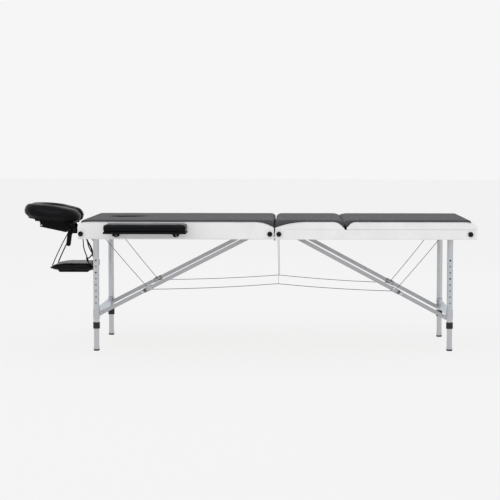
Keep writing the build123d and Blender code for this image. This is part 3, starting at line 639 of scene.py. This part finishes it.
def piping(name, pad, body):
    """The welt sewn round a pad between its top and side."""
    verts, faces = sweep(pad.seam_line(0.3 * MM), round_section(1.5 * MM, 8), closed=True)
    return make(name, verts, faces, body, PIPING, "top_vinyl")


def stitches(name, pad, body):
    """A row of stitches just under the welt, as one mesh."""
    pitch, half = 7.0 * MM, 1.8 * MM
    line = [Vector(p) for p in pad.seam_line(4.5 * MM)]
    normals = outline_normals(pad.outline())
    parts = []
    section = round_section(0.35 * MM, 5)
    carried = 0.0
    for i, start in enumerate(line):
        end = line[(i + 1) % len(line)]
        length = (end - start).length
        way = (end - start) / length
        out = Vector((normals[i][0], normals[i][1], 0)) * 0.3 * MM
        position = carried
        while position < length:
            mid = start + way * position
            parts.append(sweep([mid - way * half, mid + out, mid + way * half], section))
            position += pitch
        carried = position - length
    verts, faces = merge(*parts)
    return make(name, verts, faces, body, THREAD, "side_vinyl")


HEAD = Pad((head_lo.x, 40 * MM, 4 * MM, 0.060, 17 * MM, 0), (head_hi.x, 26 * MM, 26 * MM, 0.095, 0, 4 * MM))
SEAT = Pad((foot_lo.x, 26 * MM, 27 * MM, 0.160, 0, 4 * MM),
           (SEAT_X1, 62 * MM, SEAM_Z - RAIL_TOP - 6 * MM, 0.055, 0, 2 * MM))
BACK = Pad((back_lo.x, 26 * MM, 27 * MM, 0.041, 0, 23 * MM), (back_hi.x, 34 * MM, 4 * MM, 0.060, 29 * MM, 0))


def table_pads():
    """Top covers, white side bands, welts and stitches of the three zones."""
    top_sheet("head_pad_cover", HEAD, "head_section", ["head_top_cover", "head_foam"], True)
    seat = top_sheet("seat_pad_cover", SEAT, "foot_section", ["seat_top_cover", "seat_foam"])
    back = top_sheet("backrest_pad_cover", BACK, "backrest", ["backrest_top_cover", "backrest_foam"])
    side_band("head_side_wrap", HEAD, HEAD.outline(), RAIL_Z, None, "head_section", ["head_side_cover"])
    foot_outline = rounded_outline(foot_lo.x, foot_hi.x, -HALF_W, HALF_W, CORNER_R)
    side_band("foot_rail_wrap", None, foot_outline, RAIL_Z, RAIL_TOP, "foot_section", ["foot_side_cover"],
              False)
    seat_wrap = side_band("seat_side_wrap", SEAT, SEAT.outline(), RAIL_TOP, None, "foot_section", (), False)
    back_wrap = side_band("backrest_side_wrap", BACK, BACK.outline(), back_lo.z, None, "backrest",
                          ["backrest_side_cover"])
    start, stop = SEAT_X1 - 6 * MM, back_lo.x + 5 * MM
    bottom, top = RAIL_TOP - 0.2 * MM, RAIL_TOP + 0.3 * MM
    strip = [(start, bottom), (stop, bottom), (stop, top), (start, top)]
    prism("rail_cover_strip", strip, HALF_W - 0.5 * MM, "foot_section", PIPING, "top_vinyl", 0)
    trims = {}
    for name, pad, body in (("head", HEAD, "head_section"), ("seat", SEAT, "foot_section"),
                            ("backrest", BACK, "backrest")):
        trims[name] = (piping(name + "_pad_piping", pad, body), stitches(name + "_pad_stitches", pad, body))
    for piece in (seat, seat_wrap, *trims["seat"]):
        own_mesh(piece)
    for piece in (back, back_wrap, *trims["backrest"]):
        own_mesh(piece)


def breathing_hole():
    """The vinyl wall of the hole, its rolled lip and its lower rim."""
    top, bottom = LIP_Z, RAIL_TOP - 1 * MM
    section = ((0, top + 0.5 * MM), (-0.8 * MM, top - 12 * MM), (-0.5 * MM, bottom),
               (1.2 * MM, bottom), (1.4 * MM, top - 12 * MM), (1.6 * MM, top))
    rows = [hole_ring(grow, z) for grow, z in section]
    n = len(rows[0])
    verts = [p for row in rows for p in row]
    faces = []
    for k in range(len(rows)):
        m = (k + 1) % len(rows)
        for i in range(n):
            j = (i + 1) % n
            faces.append((k * n + i, k * n + j, m * n + j, m * n + i))
    make("breathing_hole_wall", verts, faces, "head_section", HOLE_WALL, "top_vinyl")
    lip = sweep(hole_ring(0.6 * MM, top + 0.4 * MM), round_section(1.6 * MM, 8), closed=True)
    make("breathing_hole_piping", *lip, "head_section", BLACK_PIPING, "top_vinyl")


# ---- soft accessories ----
def blow_up(obj):
    """Inflates a mesh for a few frames of cloth simulation and gives its new points."""
    cloth = obj.modifiers.new("cloth", "CLOTH")
    cloth.settings.use_pressure = True
    cloth.settings.uniform_pressure_force = 4.0
    cloth.settings.effector_weights.gravity = 0
    cloth.settings.quality = 4
    cloth.settings.tension_stiffness = 12
    cloth.settings.bending_stiffness = 0.6
    for f in range(1, 19):
        bpy.context.scene.frame_set(f)
    graph = bpy.context.evaluated_depsgraph_get()
    done = obj.evaluated_get(graph).to_mesh()
    points = np.array([v.co for v in done.vertices])
    obj.modifiers.clear()
    bpy.context.scene.frame_set(1)
    return points


def puff(name, node, body, shrink, cap, base=0.0, crown=0.0):
    """A black cushion blown up from its CAD solid, each point kept within cap of its start."""
    source = nodes[node]
    obj = bpy.data.objects.new(name, source.data.copy())
    bpy.context.scene.collection.objects.link(obj)
    obj.data.materials.clear()
    obj.data.materials.append(BLACK)
    if base:
        drop_below(obj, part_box(node)[0].z + base)
    weld = obj.modifiers.new("weld", "WELD")
    weld.merge_threshold = 1e-5
    grow = obj.modifiers.new("remesh", "REMESH")
    grow.mode = "VOXEL"
    grow.voxel_size = 5 * MM
    apply_modifiers(obj)
    shrinker = obj.modifiers.new("shrink", "DISPLACE")
    shrinker.mid_level = 0
    shrinker.strength = -shrink
    relax = obj.modifiers.new("relax", "SMOOTH")
    relax.iterations = 6
    apply_modifiers(obj)
    start = coords(obj)
    end = blow_up(obj)
    move = end - start
    far = np.linalg.norm(move, axis=1)[:, None] + 1e-12
    set_coords(obj, start + move / far * np.minimum(far, cap))
    obj.data.polygons.foreach_set("use_smooth", [True] * len(obj.data.polygons))
    smooth = obj.modifiers.new("relax", "SMOOTH")
    smooth.iterations = 5
    apply_modifiers(obj)
    fit_inside(obj, node, base, crown)
    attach(obj, body)
    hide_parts(node)
    return obj


def drop_below(obj, z):
    """Removes the points of a mesh that lie under z, such as the board under a cushion."""
    bm = bmesh.new()
    bm.from_mesh(obj.data)
    bmesh.ops.delete(bm, geom=[v for v in bm.verts if v.co.z < z], context="VERTS")
    bm.to_mesh(obj.data)
    bm.free()


def fit_inside(obj, node, base, crown):
    """Scales a soft piece to its CAD solid's box above base, with its crown raised a little."""
    low, high = (np.array(c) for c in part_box(node))
    low[2] += base
    high[2] += crown
    co = coords(obj)
    a, b = co.min(0), co.max(0)
    set_coords(obj, (co - a) / (b - a) * (high - low) + low)


def edge_depth(x, y, low, high, corner):
    """How far a point is inside a rounded rectangle."""
    qx = np.abs(x - (low.x + high.x) / 2) - ((high.x - low.x) / 2 - corner)
    qy = np.abs(y - (low.y + high.y) / 2) - ((high.y - low.y) / 2 - corner)
    return corner - np.hypot(np.maximum(qx, 0), np.maximum(qy, 0)) - np.minimum(np.maximum(qx, qy), 0)


def round_rim(obj, node, corner, reach, level, slope=0.0, least=0.0):
    """Rolls a cushion's rim over, top and bottom, towards a plane at level that leans by slope."""
    low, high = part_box(node)
    co = coords(obj)
    depth = edge_depth(co[:, 0], co[:, 1], low, high, corner)
    inner = np.clip(depth / reach, 0, 1)
    keep = least + (1 - least) * np.sqrt(1 - (1 - inner) ** 2)
    plane = level - (co[:, 0] - (low.x + high.x) / 2) * slope
    co[:, 2] = plane + (co[:, 2] - plane) * keep
    set_coords(obj, co)


def taper_front(obj, reach, level, least):
    """Narrows a cushion towards its head end, about a height level."""
    co = coords(obj)
    near = np.clip(1 - (co[:, 0] - co[:, 0].min()) / reach, 0, 1)
    co[:, 2] = level + (co[:, 2] - level) * (1 - (1 - least) * near ** 1.5)
    set_coords(obj, co)


def seam_round(name, pad_obj, path, body):
    """A welt laid on the surface of a cushion along a rough path round it."""
    bm = bmesh.new()
    bm.from_mesh(pad_obj.data)
    tree = BVHTree.FromBMesh(bm)
    laid = [tree.find_nearest(Vector(p))[0] for p in path]
    bm.free()
    verts, faces = sweep(laid, round_section(1.3 * MM, 8), closed=True)
    return make(name, verts, faces, body, BLACK_PIPING, "black_vinyl")


def pad_seam_path(node, radius, level):
    """A path round a pad at a share of its height."""
    low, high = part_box(node)
    z = low.z + (high.z - low.z) * level
    return [(x, y, z) for x, y in rounded_outline(low.x, high.x, low.y, high.y, radius, 0.008)]


def cradle_path():
    """The face cradle's outer edge at mid-thickness, following its resting tilt."""
    low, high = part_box("headrest_cushion")
    mid, centre, out = (low.z + high.z) / 2, (low.x + high.x) / 2, 5 * MM
    ring = rounded_outline(low.x - out, high.x + out, low.y - out, high.y + out, 0.092, 0.008)
    return [(x, y, mid - (x - centre) * CRADLE_SLOPE) for x, y in ring]


def soft_accessories():
    """Cushions, boards and welts of the face cradle, the armrests and the arm shelf."""
    cradle = puff("face_cradle_cushion", "headrest_cushion", "headrest_platform", 7 * MM, 9 * MM)
    low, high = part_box("headrest_cushion")
    round_rim(cradle, "headrest_cushion", 90 * MM, 30 * MM, (low.z + high.z) / 2, CRADLE_SLOPE, 0.3)
    seam_round("face_cradle_piping", cradle, cradle_path(), "headrest_platform")
    for side, _ in SIDES:
        name, node = f"armrest_{side}", f"armrest_{side}_pad"
        pad = puff(name + "_cushion", node, name, 2.5 * MM, 4 * MM, 7.1 * MM)
        low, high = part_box(node)
        inset, top = 2 * MM, low.z + 10 * MM
        board = [(low.x + inset, low.z), (high.x - inset, low.z), (high.x - inset, top), (low.x + inset, top)]
        prism(name + "_board", board, (high.y - low.y) / 2 - inset, name, PLASTIC, "black_vinyl", 2 * MM,
              (low.y + high.y) / 2)
        seam_round(name + "_piping", pad, pad_seam_path(node, 0.014, 0.22), name)
    shelf = puff("arm_shelf_cushion", "shelf_pad", "headrest", 4 * MM, 6 * MM, 0, 6 * MM)
    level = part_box("shelf_pad")[0].z + 14 * MM
    round_rim(shelf, "shelf_pad", 30 * MM, 22 * MM, level, 0.0, 0.5)
    taper_front(shelf, 80 * MM, level, 0.4)
    low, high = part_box("shelf_board")
    board = [(low.x + 38 * MM, low.z), (high.x - 24 * MM, low.z), (high.x - 18 * MM, high.z + 3 * MM),
             (low.x + 30 * MM, high.z + 3 * MM)]
    plate = prism("arm_shelf_board", board, high.y - 8 * MM, "headrest", PLASTIC, "plywood", 1.5 * MM)
    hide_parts("shelf_board")
    seam_round("arm_shelf_piping", shelf, pad_seam_path("shelf_pad", 0.03, 0.4), "headrest")


# ---- straps and handles ----
def strap(name, path, width, thick, body, up=(0, 1, 0)):
    """Flat webbing along a path, its width lying along up."""
    verts, faces = sweep(path, flat_section(width, thick), up=up)
    return make(name, verts, faces, body, WEB, "webbing")


def arc_between(a, b, sag, count=14):
    """Points from a to b, bowed by sag."""
    a, b, sag = Vector(a), Vector(b), Vector(sag)
    points = []
    for i in range(count + 1):
        t = i / count
        points.append(a.lerp(b, t) + sag * (4 * t * (1 - t)))
    return points


def buckle(name, centre, direction, width, body):
    """A ladder-lock buckle: a rounded frame with two bars."""
    along = Vector(direction).normalized()
    across = Vector((0, 1, 0))
    normal = along.cross(across).normalized()
    corners = rounded_outline(-10 * MM, 10 * MM, -width / 2 - 2 * MM, width / 2 + 2 * MM, 3 * MM, 0.004, 5)
    ring = [Vector(centre) + along * u + across * v + normal * 2 * MM for u, v in corners]
    parts = [sweep(ring, round_section(3.0 * MM, 10), closed=True)]
    for u in (-3.5 * MM, 3.5 * MM):
        middle = Vector(centre) + along * u + normal * 2 * MM
        bar = [middle - across * (width / 2), middle + across * (width / 2)]
        parts.append(sweep(bar, round_section(2.6 * MM, 10)))
    verts, faces = merge(*parts)
    return make(name, verts, faces, body, PLASTIC, "black_plastic")


def smooth_path(points, steps=8):
    """A Catmull-Rom curve through a few points."""
    pts = [Vector(points[0])] + [Vector(p) for p in points] + [Vector(points[-1])]
    path = []
    for a, b, c, d in zip(pts, pts[1:], pts[2:], pts[3:]):
        for i in range(steps):
            t = i / steps
            path.append(0.5 * (2 * b + (c - a) * t + (2 * a - 5 * b + 4 * c - d) * t * t
                               + (3 * b - a - 3 * c + d) * t ** 3))
    path.append(pts[-1])
    return path


def shelf_straps():
    """Front straps from the clamp bolt, and rear straps looped through ladder buckles."""
    shelf_lo, shelf_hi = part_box("shelf_pad")
    pin_x, pin_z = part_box("headrest_lever")[1].x - 12.5 * MM, RAIL_Z + 28 * MM
    rod_x, rod_z = FOLD_X - 0.934, RAIL_Z + 17 * MM
    for side, sign in SIDES:
        y = sign * 0.095
        loop = [(pin_x + 5 * MM * math.cos(a), y, pin_z + 5 * MM * math.sin(a))
                for a in (-1.2, 0.0, 1.2, 2.2, 3.2)]
        low = (shelf_lo.x + 10 * MM, y, shelf_hi.z - 6 * MM)
        path = loop + arc_between((pin_x - 8 * MM, y, pin_z - 14 * MM), low, (-3 * MM, 0, 0), 10)
        front = strap(f"shelf_front_strap_{side}", path, 18 * MM, (3 if sign < 0 else 4.5) * MM, "headrest")
        if side == "near":
            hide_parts("shelf_straps")
        y = sign * 0.075
        edge = sign * (shelf_hi.y + 2 * MM)
        spot = Vector((rod_x + 32 * MM, sign * 0.112, rod_z - 130 * MM))
        main = smooth_path([(rod_x, y, rod_z),
                            (rod_x + 5 * MM, y, rod_z - 40 * MM),
                            (rod_x + 10 * MM, y * 1.12, rod_z - 78 * MM),
                            spot,
                            (rod_x + 39 * MM, edge, rod_z - 160 * MM),
                            (rod_x + 41 * MM, edge, rod_z - 178 * MM)])
        strap(f"shelf_rear_strap_{side}", main, 18 * MM, 3 * MM, "headrest")
        buckle(f"shelf_buckle_{side}", spot, (-22, 0, 54), 18 * MM, "headrest")
        tail = smooth_path([spot + Vector((3 * MM, 0, 6 * MM)),
                            spot + Vector((22 * MM, 0, 28 * MM)),
                            spot + Vector((14 * MM, -sign * 12 * MM, 58 * MM)),
                            spot + Vector((-6 * MM, -sign * 26 * MM, 92 * MM)),
                            (rod_x + 14 * MM, y, rod_z)])
        strap(f"shelf_strap_tail_{side}", tail, 17 * MM, 6 * MM, "headrest")
        corners = ((-15, -14), (-1, -16), (-1, 8), (-15, 9))
        clip = [(shelf_hi.x + a * MM, shelf_hi.z + b * MM) for a, b in corners]
        prism(f"shelf_clip_{side}", clip, 9 * MM, "headrest", CLIP, "black_plastic", 1.5 * MM, sign * 0.1)


def carry_handles():
    """Webbing loops with a padded grip on the far long side."""
    for end, _ in ENDS:
        name, node, body = end + "_handle", end + "_carry_handle", end + "_section"
        low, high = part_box(node)
        z = (low.z + high.z) / 2
        y = HALF_W + 1.6 * MM
        out = high.y - 4 * MM
        ends = (low.x + 6 * MM, high.x - 6 * MM)
        path = []
        for i in range(33):
            t = i / 32
            x = ends[0] + (ends[1] - ends[0]) * t
            rise = math.sin(math.pi * t) ** 0.55
            path.append((x, y + (out - y) * rise, z))
        band = strap(name + "_band", path, 22 * MM, 2 * MM, body, (0, 0, 1))
        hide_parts(node)
        oval = [(a * 1.25, b * 0.75) for a, b in round_section(10.4 * MM, 16)]
        grip = sweep(path[9:24], oval, up=(0, 0, 1),
                     taper=lambda t: 0.72 + 0.28 * math.sin(math.pi * t) ** 0.3)
        make(name + "_grip", *grip, body, BLACK, "webbing")
        for i, x in enumerate(ends):
            rivet = lathe(((6, 0), (6, 1.2), (4.5, 2.4), (1, 2.8)), (x, y, z), (0, 1, 0), 20)
            make(f"{name}_rivet_{i}", *rivet, body, SCREW, "zinc")


# ---- cables ----
def cable(name, path, radius, body, material):
    """A round cable swept along a path, as a mesh of its own."""
    piece = make(name, *sweep(path, round_section(radius, 8)), body, material, "cable")
    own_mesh(piece)
    return piece


def leg_cables():
    """Cables from the rails down to the knees."""
    for end, inboard in ENDS:
        low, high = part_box(end + "_cables")
        outer_x, inner_x = (low.x, high.x) if inboard > 0 else (high.x, low.x)
        for side, sign in SIDES:
            start = (outer_x, sign * (high.y - 1.4 * MM), RAIL_Z + 2 * MM)
            stop = (inner_x, sign * (high.y - 41.8 * MM), low.z + 1 * MM)
            path = arc_between(start, stop, (0, 0, -3 * MM), 24)
            piece = cable(f"{end}_{side}_leg_cable", path, 1.5 * MM, end + "_section", CABLE)
            if side == "near":
                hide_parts(end + "_cables")


def span_cables():
    """The knee-to-knee cables, each in two halves that meet at the fold, and the cords they hang from."""
    low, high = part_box("span_cables")
    head_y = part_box("head_upper_braces")[1].y - 17.2 * MM
    foot_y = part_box("foot_upper_braces")[1].y - 17.2 * MM
    mid_y, mid_z = (head_y + foot_y) / 2, low.z + 36.3 * MM
    for side, sign in SIDES:
        mid = (FOLD_X + 18 * MM, sign * mid_y, mid_z)
        joint = (FOLD_X, sign * mid_y, mid_z - 0.8 * MM)
        halves = (("head", (low.x + 1 * MM, sign * head_y, low.z + 10.3 * MM), joint),
                  ("foot", (high.x - 1 * MM, sign * foot_y, low.z + 1.4 * MM), mid))
        for end, start, stop in halves:
            path = arc_between(start, stop, (0, 0, -5 * MM), 30)
            if end == "foot":
                path.append(Vector(joint))
            piece = cable(f"{end}_{side}_span_cable", path, 1.5 * MM, end + "_section", CABLE)
            if end == "head" and side == "near":
                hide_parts("span_cables")
        top = (FOLD_X + 14 * MM, sign * mid_y, RAIL_Z + 1 * MM)
        path = arc_between(top, mid, (1 * MM, 0, 0), 12)
        cable(f"{side}_hanging_cord", path, 1.1 * MM, "foot_section", CORD)


# ---- hard details ----
def knee_fittings():
    """A saddle with two dark crimp sleeves where the cables meet each upper link, and the knee's rivet."""
    for end, inboard in ENDS:
        upper = end + "_upper_braces"
        low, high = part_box(upper)
        lower_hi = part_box(end + "_lower_braces")[1]
        angle = math.atan2(high.z - low.z - 18 * MM, high.x - low.x - 18 * MM)
        along = Vector((inboard * math.cos(angle), 0, math.sin(angle)))
        normal = Vector((-inboard * math.sin(angle), 0, math.cos(angle)))
        knee_x = low.x + 9 * MM if inboard > 0 else high.x - 9 * MM
        knee = Vector((knee_x, 0, low.z + 9 * MM))
        for side, sign in SIDES:
            spot = knee + along * 31 * MM + Vector((0, sign * (high.y - 6.8 * MM), 0))
            block = rounded_outline(-11.6 * MM, 11.6 * MM, -7.2 * MM, 7.2 * MM, 3 * MM, 0.02, 4)
            saddle = sweep([spot - along * 20.5 * MM, spot + along * 20.5 * MM], block, up=normal)
            make(f"{end}_{side}_knee_saddle", *saddle, upper, LINK, "link_metal")
            parts = []
            inner = Vector((0, -sign * 9 * MM, 0))
            for way in (1, -1):
                away = (normal * 0.45 - along * 0.9) if way > 0 else (along * 0.95 - normal * 0.3)
                start = spot + inner + normal * (way * 5 * MM)
                parts.append(sweep([start, start + away.normalized() * 12 * MM], round_section(2.4 * MM, 12)))
            make(f"{end}_{side}_knee_ferrules", *merge(*parts), upper, CLAMP, "black_plastic")
            centre = knee + Vector((0, sign * lower_hi.y, 0))
            rivet = lathe(((7, 0), (7, 1), (4, 2.6), (1, 3)), centre, (0, sign, 0), 24)
            make(f"{end}_{side}_knee_rivet", *rivet, end + "_lower_braces", SCREW, "zinc")


def armrest_knobs():
    """A round knob on each armrest rod, up against its socket's flange, with a small pin head on its face."""
    for side, sign in SIDES:
        body = f"armrest_{side}"
        low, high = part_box(body + "_frame")
        z = (low.z + high.z) / 2
        for i, x in enumerate((low.x + ROD_INSET, high.x - ROD_INSET)):
            centre = (x, sign * (HALF_W + 10.3 * MM), z)
            knob = lathe(((17, 0), (17, 3), (15.5, 4.6), (5, 5.2)), centre, (0, sign, 0), 40)
            make(f"{body}_knob_{i}", *knob, body, PLASTIC, "black_plastic")
            centre = (x + 2 * MM, sign * (HALF_W + 15.1 * MM), z - 10 * MM)
            pin = lathe(((2.4, 0), (2.4, 0.5), (1, 1)), centre, (0, sign, 0), 16)
            make(f"{body}_knob_pin_{i}", *pin, body, SCREW, "zinc")


def leg_hole_shadows():
    """A disc of painted shade in each height hole, just outside the sliding tube; the top one is black
    painted shade, the others grey.
    """
    for end, _ in ENDS:
        low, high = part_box(end + "_leg_tubes")
        x = (low.x + high.x) / 2
        for side, sign in SIDES:
            discs = []
            for i in range(LEG_HOLES):
                centre = (x, sign * (high.y - 1.35 * MM), low.z + TOP_HOLE_RISE - i * LEG_HOLE_PITCH)
                discs.append(lathe(((4.0, 0), (4.0, 0.35)), centre, (0, sign, 0), 20))
            # Each disc is painted shade: the top one black, made with the black rubber material, and the
            # lower ones grey.
            make(f"{end}_{side}_top_leg_hole_shade", *discs[0], end + "_legs", RUBBER, "rubber")
            make(f"{end}_{side}_leg_hole_shades", *merge(*discs[1:]), end + "_legs", SHADE, "aluminium")


def bumper_screws():
    """A screw head sunk in each round rubber bumper."""
    for end, _ in ENDS:
        low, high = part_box(end + "_bumpers")
        z = (low.z + high.z) / 2
        for i, x in enumerate((low.x + 11.5 * MM, high.x - 11.5 * MM)):
            centre = (x, low.y + 3.6 * MM, z)
            screw = lathe(((4.3, 0), (4.3, 1), (3.2, 2.2), (0.8, 2.6)), centre, (0, -1, 0), 20)
            make(f"{end}_bumper_screw_{i}", *screw, end + "_section", CLAMP, "zinc")


def stretcher_caps():
    """Plastic end caps on each stretcher plate, with four bolts."""
    for end, _ in ENDS:
        low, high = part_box(end + "_stretcher")
        x, z = (low.x + high.x) / 2, (low.z + high.z) / 2
        over = 2 * MM
        outline = rounded_outline(low.x - over, high.x + over, low.z - over, high.z + over, 3 * MM, 0.01, 4)
        for side, sign in SIDES:
            y = sign * high.y
            block = extrude(outline, y, y - sign * 26 * MM)
            cap = make(f"{end}_{side}_stretcher_cap", *block, end + "_legs", CAP, "stretcher_grey")
            soften(cap, 1 * MM, 2)
            parts = []
            for dz in (-12 * MM, 12 * MM):
                for way in (-1, 1):
                    spot = (x + way * 6 * MM, y - sign * 14 * MM, z + dz)
                    parts.append(lathe(((3.5, 0), (3.5, 1), (2.2, 2.2)), spot, (way, 0, 0), 16))
            make(f"{end}_{side}_stretcher_bolts", *merge(*parts), end + "_legs", CLAMP, "zinc")


def fold_frame(*points):
    """Points given in mm from the fold line in x and from the rails' lower edge in z."""
    return [(FOLD_X + x * MM, RAIL_Z + z * MM) for x, z in points]


def headrest_details():
    """The cradle arm's housing and front tab, its cheeks and screws, and a knob face on the clamp lever."""
    low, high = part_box("headrest_lever")
    centre = ((low.x + high.x) / 2 + 4 * MM, low.y + 1 * MM, high.z - 12.5 * MM)
    boss = lathe(((12.5, 0), (12.5, 2), (10, 4), (4, 4.6), (3.6, 3)), centre, (0, -1, 0), 32)
    make("headrest_lever_boss", *boss, "headrest_lever", PLASTIC, "black_plastic")
    housing = fold_frame((-1141, 42), (-1013, 15), (-1013, 63.5), (-1139, 79))
    prism("cradle_housing", housing, 59 * MM, "headrest_platform", PLASTIC, "black_plastic", 2.5 * MM)
    tab = fold_frame((-1172, 68), (-1153, 66), (-1153, 80), (-1172, 82))
    prism("cradle_front_tab", tab, 18 * MM, "headrest_platform", PLASTIC, "black_plastic", 1.5 * MM)
    cheek = fold_frame((-1008, 24), (-980, 13), (-950, 13), (-928, 20), (-928, 38), (-968, 42), (-980, 50),
                       (-998, 50))
    for side, sign in SIDES:
        prism(f"cradle_cheek_{side}", cheek, 3.4 * MM, "headrest", PLASTIC, "black_plastic", 1 * MM,
              sign * 63.2 * MM)
        centre = (FOLD_X - 1.133, sign * 58.6 * MM, RAIL_Z + 50 * MM)
        screw = lathe(((5, 0), (5, 1.2), (3.4, 2.6), (1, 3)), centre, (0, sign, 0), 20)
        make(f"cradle_screw_{side}", *screw, "headrest_platform", SCREW, "zinc")


# ---- finishes for the CAD nodes that stay ----
FINISHES = {
    "head_rails": BEECH, "foot_rails": BEECH, "head_board": PLY, "seat_board": PLY, "backrest_board": PLY,
    "head_leg_tubes": LEG, "foot_leg_tubes": LEG, "head_stretcher": STRETCHER,
    "foot_stretcher": STRETCHER, "head_leg_fittings": COLLAR, "foot_leg_fittings": COLLAR,
    "head_fittings": PLASTIC, "head_bumpers": RUBBER, "foot_bumpers": RUBBER, "headrest_base": PLASTIC,
    "headrest_platform": PLASTIC, "headrest_lever": PLASTIC, "head_lower_braces": LINK,
    "head_upper_braces": LINK, "foot_lower_braces": LINK, "foot_upper_braces": LINK,
    "headrest_pins": CLAMP, "armrest_near_frame": PLASTIC, "armrest_far_frame": PLASTIC,
}


def finish_nodes():
    """Gives every CAD node that is still shown its material."""
    for name, obj in nodes.items():
        if obj.hide_render:
            continue
        material = FINISHES.get(name, STEEL)
        if name.endswith("_leg_extension"):
            material = LEG_FOOT
        elif name.endswith("_leg_button"):
            material = CLAMP
        obj.data.materials.clear()
        obj.data.materials.append(material)


# ---- floor, light and camera ----
def stage():
    """A pale floor that glows a little, so that shadows on it stay faint, with soft light all round."""
    mesh = bpy.data.meshes.new("studio_floor")
    half = 30.0
    corners = [(-half, -half, 0), (half, -half, 0), (half, half, 0), (-half, half, 0)]
    mesh.from_pydata(corners, [], [(0, 1, 2, 3)])
    floor = bpy.data.objects.new("studio_floor", mesh)
    s = Shader("studio_floor", (0.10, 0.10, 0.10, 1), 0.95, spec=0.0)
    s.vary_colour(s.noise(0.4, 1.0), 0.004)
    s.set("Emission Color", linear(246, 246, 246))
    s.set("Emission Strength", 0.86)
    mesh.materials.append(s.mat)
    bpy.context.scene.collection.objects.link(floor)
    world = bpy.data.worlds.new("studio")
    bpy.context.scene.world = world
    world.use_nodes = True
    background = world.node_tree.nodes["Background"]
    background.inputs["Color"].default_value = linear(246, 246, 246)
    background.inputs["Strength"].default_value = 1.0
    lamps = (("key", (-2.2, -3.6, 4.2), 60), ("fill", (3.4, -3.0, 2.4), 15), ("back", (0.5, 3.5, 3.6), 30))
    for name, spot, energy in lamps:
        light = bpy.data.lights.new(name, "AREA")
        light.energy = energy
        light.size = 4.0
        lamp = bpy.data.objects.new(name, light)
        lamp.location = spot
        lamp.rotation_euler = (Vector((0, 0, 0.4)) - Vector(spot)).to_track_quat("-Z", "Y").to_euler()
        bpy.context.scene.collection.objects.link(lamp)


def camera():
    """A long lens a little above the table, square to its near long side."""
    data = bpy.data.cameras.new("camera")
    data.lens = 114.1
    data.sensor_width = 36
    data.clip_end = 100
    cam = bpy.data.objects.new("camera", data)
    cam.location = (FOLD_X + 0.0952, -7.697, 1.004)
    cam.rotation_euler = (math.radians(90 - 4.08), 0, math.radians(1.63))
    bpy.context.scene.collection.objects.link(cam)
    bpy.context.scene.camera = cam


table_pads()
breathing_hole()
soft_accessories()
shelf_straps()
carry_handles()
leg_cables()
span_cables()
knee_fittings()
armrest_knobs()
leg_hole_shadows()
bumper_screws()
stretcher_caps()
headrest_details()
finish_nodes()
stage()
camera()
bpy.context.scene.view_settings.view_transform = "Standard"
